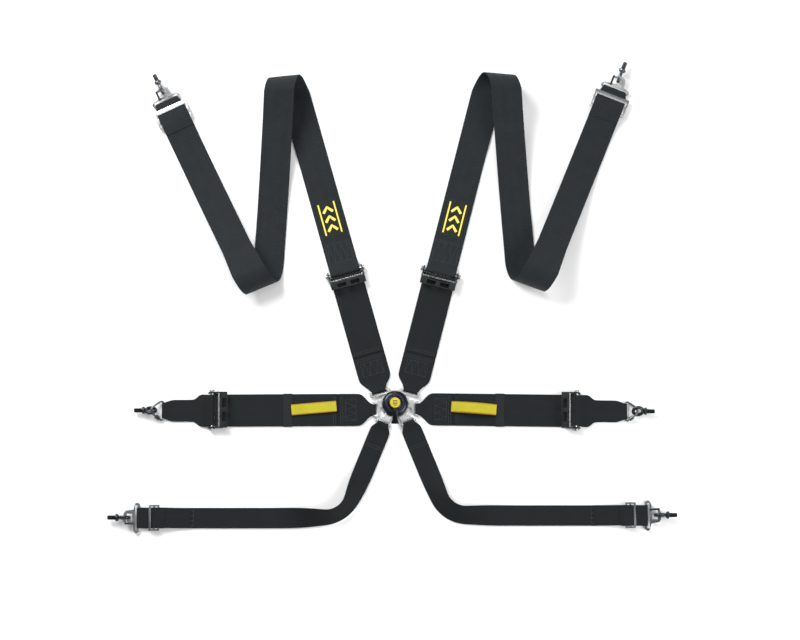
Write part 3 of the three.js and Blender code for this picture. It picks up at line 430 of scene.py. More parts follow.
def end_strap_stations(side):
    pin, heading = place(f"lap_{side}_end_strap_swing")
    size = END_STRAP
    upper = HIGH + 0.4

    def half_at(run):
        if run < 12:
            return WIDE / 2
        if run < size["flap"]:
            return mix(WIDE, BELT, ease(run, 10, 18)) / 2
        if run < size["taper"]:
            share = (run - size["flap"]) / (size["chamfer"] - size["flap"])
            return mix(BELT, size["narrow"], min(share, 1)) / 2
        share = (run - size["taper"]) / (size["end"] - size["taper"])
        return mix(size["narrow"], size["tip"], min(share, 1)) / 2

    path = [
        (STRAP_LAP, LOW), (size["chamfer"], LOW), (size["flap"], LOW), (18, LOW + 1.6),
        *arc(0, ADJUSTER_AXIS, PIN_LOOP, -90, -270), (13, 11), (22, upper + 1.6),
        (size["flap"], upper), (size["chamfer"], upper), (STRAP_LAP + 10, upper),
        (size["taper"], upper), (size["end"] - 9, upper + 2.6),
        *arc(size["end"], LINK_AXIS, LINK_LOOP, 90, -90), (size["end"] - 12, LOW),
        (size["taper"], LOW), (STRAP_LAP + 10, LOW)]
    return straight(pin, heading, path, half_at)


def pull_stations(side):
    """A pull band from its sewn end towards the buckle and back over itself."""
    pivot, inward = place(f"lap_{side}_pull_loop_lift")
    inward = Matrix.Rotation(math.radians(PULL_TURN[side]), 3, "Z") @ inward
    low = pivot.z
    high = low + THICK + GAP + 0.4
    nose = (high - low) / 2
    path = [(0, low), (PULL_RUN / 2, low), (PULL_RUN - nose, low)]
    path += [(-run, height) for run, height in arc(nose - PULL_RUN, low + nose, nose, -90, -270, 4)]
    for share in PULL_SHARES:
        arch = PULL_ARCH[side] * math.sin(math.pi * share)
        path.append((mix(PULL_RUN - nose, 0, share), high + arch))
    return straight(pivot, inward, path, lambda run: PULL_WIDTH / 2)


def crotch_stations(side):
    """From the tongue on a slant, then a turn, leaning on the outer edge, to run level."""
    bar, first = place(f"crotch_{side}_strap_lift")
    hook, level = place(f"crotch_{side}_hook_swing")
    bar.z = 0
    slide = hook - level * HOOK_AT
    half = NARROW / 2
    hand = 1 if level.x > 0 else -1
    heading = math.atan2(first.y, first.x) % math.tau
    turn = (math.tau if hand > 0 else math.pi) - heading
    corner_run = (slide.y - bar.y) / first.y
    corner = bar + first * corner_run
    tangent = BEND["radius"] * math.tan(abs(turn) / 2)
    bend_start = corner_run - tangent
    bend_length = BEND["radius"] * abs(turn)
    stations = []

    def bank_at(run):
        into = ease(run, bend_start - BEND["ease_in"], bend_start + bend_length * 0.4)
        out = ease(run, bend_start + bend_length * 0.6, bend_start + bend_length + BEND["ease_out"])
        return math.radians(BANK[side]) * into * (1 - out)

    def add(point, direction, run, height, width):
        bank = bank_at(run) * hand
        across = sideways(direction) * math.cos(bank)
        across.z = math.sin(bank)
        lift = height + width * abs(math.sin(bank))
        stations.append((Vector((point.x, point.y, lift)), across, width))

    start_path = [
        (STRAP_LAP, LOW), (34, LOW), (20, LOW), (10, LOW), *TONGUE_LOOP,
        (6, BAR_AXIS + BAR_LOOP - 1.2), (14, HIGH + 2), (24, HIGH), (STRAP_LAP + 6, HIGH)]
    for run, height in start_path:
        add(bar + first * run, first, 0, height, mix(BAR_HALF["crotch"], half, ease(run, 2, 16)))
    for share in (0.25, 0.5, 0.75):
        run = mix(STRAP_LAP + 6, bend_start, share)
        add(bar + first * run, first, run, FOLD["floor"], half)
    inward = math.copysign(BEND["radius"], turn)
    centre = corner - first * tangent + sideways(first) * inward
    for i in range(BEND["steps"] + 1):
        angle = heading + turn * i / BEND["steps"]
        direction = Vector((math.cos(angle), math.sin(angle), 0))
        run = bend_start + bend_length * i / BEND["steps"]
        add(centre - sideways(direction) * inward, direction, run, FOLD["floor"], half)
    bend_end = corner.x + hand * tangent
    far_run = abs(slide.x - bend_end) - SLIDE["length"] / 2 - 60
    for run in (*LEVEL_RUNS, mix(LEVEL_RUNS[-1], far_run, 0.5), far_run):
        point = Vector((bend_end + hand * run, slide.y, 0))
        add(point, level, bend_start + bend_length + run, HIGH, half)
    for run, height in anchor_path(SLIM_SLIDE):
        add(slide + level * run, level, math.inf, height, bunched(run, half))
    return stations


# ---- Finishes ----
class Finish:
    """A node material put together from short calls."""

    def __init__(self, name):
        self.material = bpy.data.materials.new(name)
        self.material.use_nodes = True
        self.tree = self.material.node_tree
        self.tree.nodes.clear()
        self.shader = self.node("ShaderNodeBsdfPrincipled")
        output = self.node("ShaderNodeOutputMaterial")
        self.tree.links.new(self.shader.outputs["BSDF"], output.inputs["Surface"])

    def node(self, kind, inputs=None, **settings):
        made = self.tree.nodes.new(kind)
        for key, value in settings.items():
            setattr(made, key, value)
        for key, value in (inputs or {}).items():
            self.feed(made.inputs[key], value)
        return made

    def feed(self, socket, value):
        if isinstance(value, bpy.types.NodeSocket):
            self.tree.links.new(value, socket)
        else:
            socket.default_value = value

    def set(self, **values):
        for key, value in values.items():
            self.feed(self.shader.inputs[key.replace("_", " ")], value)

    def sum(self, operation, *values):
        made = self.node("ShaderNodeMath", operation=operation)
        for socket, value in zip(made.inputs, values):
            self.feed(socket, value)
        return made.outputs[0]

    def scaled(self, value, low, high, start=0.0, end=1.0):
        made = self.node("ShaderNodeMapRange", {
            "Value": value, "From Min": start, "From Max": end, "To Min": low, "To Max": high})
        return made.outputs["Result"]

    def noise(self, scale, detail=3.0, vector=None, stretch=None):
        place = vector or self.node("ShaderNodeTexCoord").outputs["Object"]
        if stretch:
            moved = self.node("ShaderNodeMapping", {"Vector": place, "Scale": stretch})
            place = moved.outputs["Vector"]
        made = self.node("ShaderNodeTexNoise", {
            "Vector": place, "Scale": scale, "Detail": detail})
        return made.outputs["Fac"]

    def blend(self, share, first, second):
        made = self.node("ShaderNodeMix", data_type="RGBA")
        self.feed(made.inputs[0], share)
        self.feed(made.inputs[6], first)
        self.feed(made.inputs[7], second)
        return made.outputs[2]

    def bump(self, height, distance, strength=1.0):
        made = self.node("ShaderNodeBump", {
            "Height": height, "Distance": distance, "Strength": strength})
        self.set(Normal=made.outputs["Normal"])


def linear(*colour):
    """A screen colour, 0 to 255, as the shader's linear values."""
    shares = [value / 255 for value in colour]
    return (*(v / 12.92 if v <= 0.04045 else ((v + 0.055) / 1.055) ** 2.4 for v in shares), 1.0)


RIB = 0.0060  # metres from one heavy cross rib of the webbing to the next
CORD = 0.0030  # and between the lengthwise cords
PANEL = 0.0125  # width of a lengthwise panel of the weave
PANEL_LEAN = 0.35  # how far the ribs slant in a panel
GRAIN = 0.00003  # depth of the tumbled grain in the metal


def webbing(name, dark, light, half_width, rib=RIB, sheen=0.05, edge=None, relief_and_highlight=1.15):
    """Woven polyester: cross ribs, cords lengthwise, panels and a firm selvedge."""
    made = Finish(name)
    place = made.node("ShaderNodeUVMap", uv_map="strap").outputs["UV"]
    parts = made.node("ShaderNodeSeparateXYZ", {"Vector": place})
    across, run = parts.outputs["X"], parts.outputs["Y"]
    lean = made.sum("PINGPONG", across, PANEL)
    phase = made.sum("ADD", run, made.sum("MULTIPLY", lean, PANEL_LEAN))
    turns = made.sum("MULTIPLY", phase, math.tau / rib)
    fine_ribs = made.sum("MULTIPLY", made.sum("SINE", made.sum("MULTIPLY", turns, 3.0)), 0.45)
    ribs = made.sum("ADD", made.sum("MULTIPLY", made.sum("SINE", turns), 0.55), fine_ribs)
    cords = made.sum("SINE", made.sum("MULTIPLY", across, math.tau / CORD))
    weave = made.sum("ADD", made.scaled(ribs, 0, 0.7, -1, 1), made.scaled(cords, 0, 0.3, -1, 1))
    fuzz = made.noise(2600.0, 2.0)
    patches = made.noise(34.0, 4.0)
    streaks = made.noise(1.0, 3.0, vector=place, stretch=(420.0, 9.0, 1.0))
    inner = made.scaled(made.sum("ABSOLUTE", across), 0, 1,
                        (half_width - 3.2) * MM, (half_width - 1.6) * MM)
    height = made.sum("ADD", weave, made.sum("MULTIPLY", fuzz, 0.35))
    # the weave's crests are painted lighter than its hollows, a painted highlight and shade on the ribs
    # and cords; patches and streaks add random tone
    tone_and_highlight = made.sum("ADD", made.sum("MULTIPLY", weave, relief_and_highlight), made.scaled(patches, 0.1, 0.3, 0.3, 0.7))
    tone_and_highlight = made.sum("ADD", tone_and_highlight, made.scaled(streaks, -0.06, 0.1, 0.3, 0.7))
    colour = made.blend(tone_and_highlight, linear(*dark), linear(*light))
    if edge:
        colour = made.blend(made.sum("MULTIPLY", inner, 0.75), colour, linear(*edge))
    made.set(Base_Color=colour, Roughness=made.scaled(fuzz, 0.66, 0.86, 0.3, 0.7),
             Sheen_Weight=sheen, Sheen_Roughness=0.45, Specular_IOR_Level=0.28)
    made.bump(height, 0.001 * relief_and_highlight, 0.9)
    return made.material


def metal(name, base, worn, rough, metallic=1.0, highlight_pointiness=None, coat=0.0):
    """Metal with tumbled grain, cloudy gloss and edges in a second colour.

    The edges are the rounded faces, rubbed to the worn colour; given a pointiness range, they are
    wherever the mesh curves outwards that much, and there the second colour is a painted highlight.
    """
    made = Finish(name)
    clouds = made.noise(60.0, 5.0)
    fine = made.noise(900.0, 3.0)
    if highlight_pointiness:
        curve = made.node("ShaderNodeNewGeometry").outputs["Pointiness"]
        edges = made.scaled(curve, 0.0, 1.0, *highlight_pointiness)
    else:
        edges = made.node("ShaderNodeAttribute", attribute_name="rounded").outputs["Fac"]
    # the edge colour: rubbed wear on rounded faces, a painted highlight on outward curves picked by
    # pointiness
    wear_and_highlight = made.sum("MULTIPLY", edges, made.scaled(made.noise(210.0), 0.3, 0.9, 0.35, 0.6))
    base = linear(*base)
    darker = tuple(channel * 0.8 for channel in base[:3]) + (1.0,)
    shade = made.blend(made.scaled(clouds, 0, 1, 0.3, 0.7), base, darker)
    made.set(Base_Color=made.blend(wear_and_highlight, shade, linear(*worn)), Metallic=metallic,
             Roughness=made.sum("ADD", made.scaled(clouds, *rough, 0.3, 0.7),
                                made.scaled(fine, -0.05, 0.05, 0.3, 0.7)),
             Coat_Weight=coat, Coat_Roughness=0.2)
    made.bump(fine, GRAIN)
    return made.material


def plain_thread(name, colour, highlight):
    """Twisted sewing thread."""
    made = Finish(name)
    twist = made.noise(1700.0, 2.0)
    share = made.scaled(twist, 0, 1, 0.35, 0.65)
    made.set(Base_Color=made.blend(share, linear(*colour), linear(*highlight)), Roughness=0.6,
             Sheen_Weight=0.3)
    made.bump(twist, 0.0002)
    return made.material


CHARCOAL = ((0, 0, 0), (29, 35, 39))
SMOOTH = ((4, 8, 11), (17, 24, 28))
FINISHES = {
    "webbing": webbing("charcoal_webbing_75", *CHARCOAL, WIDE / 2),
    "belt": webbing("charcoal_webbing_80", *SMOOTH, BELT / 2, rib=0.0024, relief_and_highlight=0.22),
    "narrow": webbing("charcoal_webbing_50", *SMOOTH, NARROW / 2, rib=0.0024, relief_and_highlight=0.22),
    "pull": webbing("yellow_webbing_27", (148, 137, 9), (205, 196, 51), PULL_WIDTH / 2,
                    rib=0.0058, sheen=0.1, edge=(150, 92, 20), relief_and_highlight=0.6),
    "silver": metal("zinc_plate", (182, 184, 186), (226, 228, 227), rough=(0.2, 0.36)),
    "grey": metal("grey_plate", (112, 115, 118), (178, 180, 182), rough=(0.26, 0.42)),
    "dark": metal("dark_steel", (66, 69, 72), (140, 143, 145), rough=(0.28, 0.42)),
    "black": metal("black_plate", (11, 12, 13), (118, 121, 124), rough=(0.28, 0.42),
                   metallic=0.35),
    # the blue-grey second colours of the cap and of the hub and lever, on their curved rims, are painted
    # highlights
    "cap": metal("blue_black_satin", (17, 25, 42), (84, 100, 130), rough=(0.26, 0.38),
                 metallic=0.45, highlight_pointiness=(0.505, 0.55), coat=0.15),
    "hub": metal("black_hub", (9, 10, 13), (96, 106, 126), rough=(0.24, 0.34),
                 metallic=0.4, highlight_pointiness=(0.515, 0.56), coat=0.15),
    "red": metal("dark_red_paint", (112, 22, 26), (150, 60, 60), metallic=0.0,
                 rough=(0.3, 0.4)),
    "thread": plain_thread("grey_thread", (8, 11, 13), (40, 45, 49)),
    "black_thread": plain_thread("black_thread", (14, 15, 16), (46, 48, 50)),
    "elastic": webbing("elastic_22", (14, 17, 19), (34, 38, 41), KEEPER["width"] / 2,
                       rib=0.0016, relief_and_highlight=0.3),
    "label": webbing("label_cloth", (14, 20, 16), (34, 42, 36), LABEL["width"] / 2,
                     rib=0.0009, sheen=0.1),
    "label_yellow": plain_thread("label_yellow", (228, 196, 46), (252, 232, 110)),
    "badge": metal("yellow_badge", (204, 184, 40), (236, 222, 110), metallic=0.0,
                   rough=(0.3, 0.42)),
    "badge_mark": metal("badge_print", (58, 44, 18), (120, 96, 40), metallic=0.0,
                        rough=(0.4, 0.5)),
    # the near-white second colour on the knurls' peaks is a painted highlight
    "knurl": metal("knurl_painted_glints", (34, 35, 37), (236, 238, 240), rough=(0.25, 0.4),
                   metallic=0.85, highlight_pointiness=(0.5, 0.545)),
}


# ---- Stitching and sewn-on pieces ----
def sewing(name, band, lines, body, finish, pitch, length=3.4, width=1.0, height=0.45):
    """Rows of stitches along lines of (across, run) points on the band's upper face."""
    points, faces = [], []
    for start, end in lines:
        span = math.hypot(end[0] - start[0], end[1] - start[1])
        count = max(int(span / pitch), 1)
        for i in range(count):
            first = (i + 0.5) * span / count - length / 2
            places = [mix(first, first + length, share) / span for share in (0, 0.25, 0.75, 1)]
            spots = [band.at(mix(start[0], end[0], s), mix(start[1], end[1], s), -0.15)
                     for s in places]
            forward = (spots[3] - spots[0]).normalized()
            up = band.up_at(start[1])
            side = forward.cross(up).normalized() * width / 2
            base = len(points)
            points.append(spots[0])
            for spot in spots[1:3]:
                points += [spot - side, spot - side * 0.6 + up * height,
                           spot + side * 0.6 + up * height, spot + side]
            points.append(spots[3])
            for k in range(4):
                after = (k + 1) % 4
                faces.append((base, base + 1 + after, base + 1 + k))
                faces.append((base + 1 + k, base + 1 + after, base + 5 + after, base + 5 + k))
                faces.append((base + 9, base + 5 + k, base + 5 + after))
    return add_mesh(name, points, faces, body, finish)


def box_lines(half, start, end, teeth):
    """A sewn box with a zigzag between its long sides."""
    lines = [((-half, start), (half, start)), ((half, start), (half, end)),
             ((half, end), (-half, end)), ((-half, end), (-half, start))]
    for i in range(teeth):
        first, last = mix(-half, half, i / teeth), mix(-half, half, (i + 1) / teeth)
        middle = (first + last) / 2
        lines += [((first, start), (middle, end)), ((middle, end), (last, start))]
    return lines


def patch(name, band, across, run, width, length, lift, thick, body, finish):
    """A thin piece lying on a band, centred on (across, run)."""
    stations = []
    for i in range(int(length / 6) + 2):
        spot = run - length / 2 + length * i / (int(length / 6) + 1)
        centre = band.at(across, spot, lift + thick / 2)
        direction = [float(np.interp(spot, band.run, column)) for column in band.rows.T[3:6]]
        stations.append((centre, Vector(direction).normalized(), width / 2))
    return band_mesh(name, Band(stations, thick), body, finish)


def stroke(name, band, line, width, lift, body):
    """A raised yellow line along (across, run) corners on a band."""
    spots = [line[0]]
    for start, end in zip(line, line[1:]):
        spots += [(mix(start[0], end[0], i / 4), mix(start[1], end[1], i / 4)) for i in range(1, 5)]
    points = [band.at(u, run, lift + 0.12) for u, run in spots]
    stations = []
    for i, (spot, point) in enumerate(zip(spots, points)):
        along = points[min(i + 1, len(points) - 1)] - points[max(i - 1, 0)]
        across = band.up_at(spot[1]).cross(along).normalized()
        stations.append((point, across, width / 2))
    return band_mesh(name, Band(stations, 0.24), body, "label_yellow")


def dress(name, band, body, pitch, *groups):
    """The sewn rows and boxes of one strap, each a list of lines."""
    for number, lines in enumerate(groups, 1):
        sewing(f"{name}_stitching_{number}", band, lines, body, "thread", pitch)


def across_lines(half, *runs):
    return [((-half, run), (half, run)) for run in runs]


def rebuilt(name, node_name, stations, finish):
    """A band that stands for a CAD piece, on the body that has the piece's name."""
    band = Band(stations)
    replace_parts(band_mesh(name, band, node_name, finish), node_name)
    return band


def build_belt(name, bar_half):
    band = rebuilt(f"{name}_belt_webbing", f"{name}_belt", belt_stations(name, bar_half), "belt")
    bar, heading = place(f"{name}_belt_lift")
    half = BELT / 2 - SEWN_IN

    def run_at(distance):
        return band.run_at(bar, heading, distance, HIGH)

    hem = HEM[name]
    rows = across_lines(half, *[run_at(hem + row) for row in HEM_ROWS])
    box = box_lines(half * 0.78, run_at(44), run_at(hem - 18), 3)
    dress(name, band, f"{name}_belt", WIDE_PITCH, rows, box)


def build_shoulder(side):
    name = f"shoulder_{side}"
    build_belt(name, BAR_HALF["shoulder"])
    body = f"{name}_webbing"
    band = rebuilt(f"{name}_slack_webbing", body, slack_stations(side), "webbing")
    pin, heading = place(f"{name}_webbing_swing")

    def run_at(distance):
        return band.run_at(pin, heading, distance, FOLD["floor"])

    half = WIDE / 2 - SEWN_IN
    box = box_lines(half, *map(run_at, UPPER_SEWN["box"]), 4)
    rows = across_lines(half, *map(run_at, UPPER_SEWN["rows"]))
    dress(name + "_upper", band, body, WIDE_PITCH, box, rows)
    hook, out = place(f"{name}_hook_swing")
    back = band.run_at(hook, out, -HOOK_AT - TURNED_BACK["past_hook"], SLIDE_TOP)
    patch(f"{name}_turned_back", band, 0, back, WIDE, TURNED_BACK["length"], 0.1, THICK, body,
          "webbing")
    centre = run_at(LABEL["at"])
    patch(f"{name}_label", band, 0, centre, LABEL["width"], LABEL["length"], 0.05, LABEL["thick"],
          body, "label")
    half_run = LABEL["length"] / 2 - LABEL["margin"]
    marks = [([(u, centre - half_run), (u, centre + half_run)], MARK["line"])
             for u in (-MARK["line_at"], MARK["line_at"])]
    for step in (-1, 0, 1):
        tip = centre + step * MARK["pitch"]
        foot = tip - MARK["back"]
        chevron = [(-MARK["reach"], foot), (0, tip + MARK["ahead"]), (MARK["reach"], foot)]
        marks.append((chevron, MARK["chevron"]))
    for number, (line, width) in enumerate(marks, 1):
        stroke(f"{name}_label_mark_{number}", band, line, width, LABEL["thick"], body)
    reach, start = [LABEL[size] / 2 - LABEL["seam"] for size in ("width", "length")]
    low, high = centre - start, centre + start
    edge_lines = [((-reach, low), (-reach, high)), ((reach, low), (reach, high)),
                  ((-reach, low), (reach, low)), ((-reach, high), (reach, high))]
    sewing(f"{name}_label_stitching", band, edge_lines, body, "black_thread",
           pitch=3.6, length=2.8)


def build_lap(side):
    name = f"lap_{side}"
    build_belt(name, BAR_HALF["lap"])
    rebuilt(f"{name}_end_webbing", f"{name}_end_strap", end_strap_stations(side), "belt")
    rebuilt(f"{name}_pull_band", f"{name}_pull_loop", pull_stations(side), "pull")


def build_keeper(side):
    """An elastic loop round the lap belt that holds down the pull loop's sewn end."""
    name = f"lap_{side}"
    pivot, inward = place(f"{name}_pull_loop_lift")
    cross = sideways(inward)
    edge, low, high = BELT / 2 + KEEPER["room"], 0.5, LOW + THICK * 1.5 + 1.1
    around = [(-edge + 4, low), (-edge + 1, low), (-edge, low + 1.2), (-edge, high - 1.2),
              (-edge + 1, high), (-edge + 4, high), (0, high + 0.2), (edge - 4, high),
              (edge - 1, high), (edge, high - 1.2), (edge, low + 1.2), (edge - 1, low),
              (edge - 4, low), (0, low), (-edge + 3, low)]
    middle = Vector((pivot.x, pivot.y, 0)) - inward * KEEPER["back"]
    stations = [(middle + cross * reach + UP * height, -inward, KEEPER["width"] / 2)
                for reach, height in around]
    band_mesh(f"{name}_keeper", Band(stations, KEEPER["thick"]), f"{name}_belt",
              "elastic")


def build_crotch(side):
    name = f"crotch_{side}"
    body = f"{name}_strap"
    band = rebuilt(f"{name}_webbing", body, crotch_stations(side), "narrow")
    bar, first = place(f"{name}_strap_lift")
    hook, level = place(f"{name}_hook_swing")
    seam = band.run_at(bar, first, STRAP_LAP, HIGH)
    end = band.run_at(hook, level, -CROTCH_END["from_hook"], HIGH)
    half = NARROW / 2 - 4
    rows = across_lines(half, seam + 3, seam - 3)
    box = box_lines(half * 0.9, *[end + reach for reach in CROTCH_END["box"]], 3)
    dress(name, band, body, NARROW_PITCH, rows, box)
    patch(f"{name}_sewn_end", band, CROTCH_END["offset"], end + CROTCH_END["box"][1], NARROW - 1,
          CROTCH_END["length"], 0.05, THICK, body, "narrow")


for side in ("left", "right"):
    build_shoulder(side)
    build_lap(side)
    build_keeper(side)
    build_crotch(side)


# ---- Metalwork ----
def refine(node_name, finish):
    """A CAD piece with its seams welded and its edges rounded over."""
    source = nodes[node_name]
    mesh = bpy.data.meshes.new(f"{node_name}_finished")
    work = bmesh.new()
    work.from_mesh(source.data)
    layer = work.faces.layers.float.new("rounded")
    bmesh.ops.remove_doubles(work, verts=work.verts, dist=2e-6)
    bmesh.ops.dissolve_limit(work, angle_limit=FLAT_WITHIN, verts=work.verts, edges=work.edges)
    sharp = [edge for edge in work.edges
             if edge.is_manifold and edge.calc_face_angle(0) > BEVEL_FROM]
    rounding = bmesh.ops.bevel(work, geom=sharp, offset=BEVEL * MM, segments=2, profile=0.6,
                               affect="EDGES", clamp_overlap=True)
    for face in rounding["faces"]:
        face[layer] = 1.0
    bmesh.ops.triangulate(work, faces=[face for face in work.faces if len(face.verts) > 4])
    work.to_mesh(mesh)
    work.free()
    mesh.materials.clear()
    mesh.materials.append(FINISHES[finish])
    mesh.shade_smooth()
    mesh.set_sharp_from_angle(angle=SHARP_FROM)
    piece = linked(mesh.name, mesh)
    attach(piece, source["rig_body"])
    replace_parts(piece, node_name)


def tube_faces(rows, ring):
    """The sides and both ends of a tube of rows that each hold a ring of points."""
    faces = []
    for row in range(rows - 1):
        for k in range(ring):
            a, b = row * ring + k, row * ring + (k + 1) % ring
            faces.append((a, b, b + ring, a + ring))
    return faces + [tuple(reversed(range(ring))), tuple(range((rows - 1) * ring, rows * ring))]


def turned(name, origin, axis, profile, body, finish, sides=56, wobble=None):
    """A piece turned about an axis from (radius, distance along) pairs, closed at both ends."""
    axis = axis.normalized()
    first = axis.orthogonal().normalized()
    second = axis.cross(first)
    points = []
    for radius, distance in profile:
        for k in range(sides):
            angle = math.tau * k / sides
            reach = radius + (wobble(angle, distance) if wobble else 0.0)
            spoke = first * math.cos(angle) + second * math.sin(angle)
            points.append(origin + axis * distance + spoke * reach)
    return add_mesh(name, points, tube_faces(len(profile), sides), body, finish)


def ring_of_wire(name, centre, axis, radius, wire, body, finish):
    """A round wire ring."""
    first = axis.orthogonal().normalized()
    second = axis.cross(first)
    long, short = 64, 20
    points, faces = [], []
    for i in range(long):
        around = math.tau * i / long
        spoke = first * math.cos(around) + second * math.sin(around)
        for k in range(short):
            angle = math.tau * k / short
            points.append(centre + spoke * (radius + wire * math.cos(angle))
                          + axis * wire * math.sin(angle))
    for i in range(long):
        for k in range(short):
            a, b = i * short, ((i + 1) % long) * short
            after = (k + 1) % short
            faces.append((a + k, b + k, b + after, a + after))
    return add_mesh(name, points, faces, body, finish)


def lofted(name, sections, body, finish, count=24):
    """A solid through rounded sections of (centre, half-width vector, half-height vector)."""
    points = []
    for centre, wide, high in sections:
        for k in range(count):
            angle = math.tau * k / count
            c, s = math.cos(angle), math.sin(angle)
            points.append(centre + wide * math.copysign(abs(c) ** LOFT_POWER, c)
                          + high * math.copysign(abs(s) ** LOFT_POWER, s))
    return add_mesh(name, points, tube_faces(len(sections), count), body, finish)


def rounded(profile, radius=0.5, steps=3):
    """A profile with every corner between its ends rounded over."""
    result = [profile[0]]
    for before, corner, after in zip(profile, profile[1:], profile[2:]):
        corner_v, before_v, after_v = Vector(corner), Vector(before), Vector(after)
        into = min(radius, (corner_v - before_v).length / 2)
        out = min(radius, (after_v - corner_v).length / 2)
        start = corner_v + (before_v - corner_v).normalized() * into
        end = corner_v + (after_v - corner_v).normalized() * out
        for i in range(steps + 1):
            share = i / steps
            result.append(tuple(
                start * (1 - share) ** 2 + corner_v * 2 * share * (1 - share) + end * share ** 2))
    return result + [profile[-1]]


def build_buckle():
    centre = Vector((0, 0, 0))
    outer, top, rim, hole, wall = [CAP[key] for key in ("radius", "top", "floor", "hole", "wall")]
    shoulder = outer - CAP["crown"]
    crown = [(shoulder + CAP["crown"] * math.sin(a), top - CAP["crown"] * (1 - math.cos(a)))
             for a in [math.radians(90 * i / 14) for i in range(15)]]
    profile = [(hole, top - wall), (hole, top - 0.5), (hole + 0.5, top), *crown,
               (outer, rim + 3.4), (outer - 0.5, rim + 3.0), (outer - 0.5, rim + 2.4),
               (outer, rim + 2.0), (outer, rim + 0.5), (outer - 0.5, rim), (outer - wall, rim)]
    inner = [(radius - wall if radius > shoulder else radius, height - wall)
             for radius, height in reversed(crown)]
    cap = turned("buckle_cap", centre, UP, profile + inner, "buckle", "cap",
                 sides=96)
    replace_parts(cap, "buckle_cover")
    mark = (0, 24.6, 22.9)
    lofted("cap_mark", [(Vector((x, mark[1], mark[2])), Vector((0, 1.3 * w, -0.35 * w)),
                         Vector((0, 0.15, 0.7)))
                        for x, w in ((-2.6, 0.5), (-2.1, 1), (2.1, 1), (2.6, 0.5))],
           "buckle", "red", count=16)
    outer, inner, low, top = [HUB[key] for key in ("radius", "top_radius", "floor", "top")]
    badge = BADGE["radius"]
    hub_profile = rounded([
        (0.2, low), (outer, low), (outer, low + 3.2), (inner, top - 0.3), (inner - 1.6, top),
        (badge + 0.5, top), (badge + 0.2, top - 0.6), (0.2, top - 0.6)], 0.8, 4)
    hub = turned("lever_hub", centre, UP, hub_profile, "lever", "hub",
                 sides=96)
    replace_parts(hub, "release_lever")
    sections = [(Vector((0, -reach, height)), Vector((-width / 2, 0, 0)),
                 Vector((0, 0, thick / 2))) for reach, width, height, thick in LEVER_SECTIONS]
    arm = lofted("lever_arm", sections, "lever", "hub")
    arm.modifiers.new("smooth", "SUBSURF").render_levels = 1
    disc = turned("badge_disc", centre, UP, rounded([
        (0.2, BADGE["floor"] - 0.8), (BADGE["radius"], BADGE["floor"] - 0.8),
        (BADGE["radius"], BADGE["top"]), (0.2, BADGE["top"] + 0.05)], 0.6), "lever",
        "badge", sides=72)
    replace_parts(disc, "lever_badge")
    for number, (x, y, length) in enumerate(BADGE_BARS, 1):
        lofted(f"badge_mark_{number}", [
            (Vector((x + share * length / 2, y, BADGE["top"] + 0.12)), Vector((0, 0.95, 0)),
             Vector((0, 0, 0.16))) for share in (-1, -0.9, 0.9, 1)],
            "lever", "badge_mark", count=12)


def knurl(pitch, depth, turns):
    """Height of a diamond knurl at an angle round a bar and a distance along it."""
    def height(angle, distance):
        lean = math.tau * distance / pitch
        return depth * abs(math.sin((angle * turns + lean) / 2) * math.sin((angle * turns - lean) / 2))
    return height


def build_adjuster(name):
    lock, heading = place(f"{name}_adjuster_tilt")
    body = f"{name}_adjuster"
    cross = sideways(heading)
    inside, bar, end = ADJUSTER["inside"], ADJUSTER["bar"], ADJUSTER["end"]
    reach = inside - GAP
    total = inside + ADJUSTER["cheek"] + 2
    count = ADJUSTER["bar_rows"]
    grip = [(bar - 0.4, mix(-reach + 1, reach - 1, i / count)) for i in range(count + 1)]
    pattern = knurl(**BAR_KNURL)
    profile = [(end - 0.6, -total), (end, -total + 0.6), (end, -reach), (bar - 0.6, -reach),
               (bar - 0.4, -reach + 0.6), *grip, (bar - 0.4, reach - 0.6), (bar - 0.6, reach),
               (end, reach), (end, total - 0.6), (end - 0.6, total)]
    rod = turned(f"{name}_knurled_bar", lock, cross, profile, body, "knurl",
                 sides=40,
                 wobble=lambda a, d: pattern(a, d) if abs(d) < reach - 1 else 0.0)
    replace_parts(rod, f"{name}_lock_bar")
    thin = ADJUSTER["grip"]
    middle = lock - heading * ADJUSTER["grip_back"] + UP * ADJUSTER["grip_height"]
    span = inside + 0.6
    count = ADJUSTER["grip_rows"]
    profile = [(thin * 0.8, -span)] + [
        (thin - 0.3, mix(-span + 0.5, span - 0.5, i / count)) for i in range(count + 1)
    ] + [(thin * 0.8, span)]
    turned(f"{name}_grip_rod", middle, cross, profile, body, "knurl",
           sides=24, wobble=knurl(**GRIP_KNURL))


def build_eye_bolt(name, tilt):
    near, out = place(f"{name}_eye_bolt_swing")
    body = f"{name}_eye_bolt"
    finish = "grey" if name.startswith("shoulder") else "dark"
    centre = near + out * EYE["ring"]
    side = sideways(out)
    axis = (UP * math.cos(math.radians(tilt)) - side * math.sin(math.radians(tilt))).normalized()
    ring = ring_of_wire(f"{name}_bolt_ring", centre, axis, EYE["ring"], EYE["wire"], body,
                        finish)
    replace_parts(ring, body)
    rim = EYE["ring"] + EYE["wire"]
    start = rim - 1.8
    seat = rim + EYE["collar_height"] - 1
    wide = EYE["collar"]
    collar = rounded([(wide - 3.4, start - 1), (wide - 1.2, start + 1), (wide, start + 2.4),
                      (wide, seat), (0.3, seat)], 0.6)
    turned(f"{name}_bolt_collar", centre, out, collar, body, finish)
    rows = int(EYE["thread"] / EYE["pitch"] * 8)
    shank = []
    for i in range(rows + 1):
        distance = seat - 0.6 + (EYE["thread"] + 0.6) * i / rows
        worn = min(1.0, (seat + EYE["thread"] - distance) / 1.6)
        shank.append((EYE["shank"] - 1.1 * (1 - worn), distance))

    def thread(angle, distance):
        phase = (distance / EYE["pitch"] + angle / math.tau) % 1.0
        return -EYE["depth"] * abs(2 * phase - 1)

    turned(f"{name}_bolt_thread", centre, out, shank, body, finish,
           sides=36, wobble=thread)


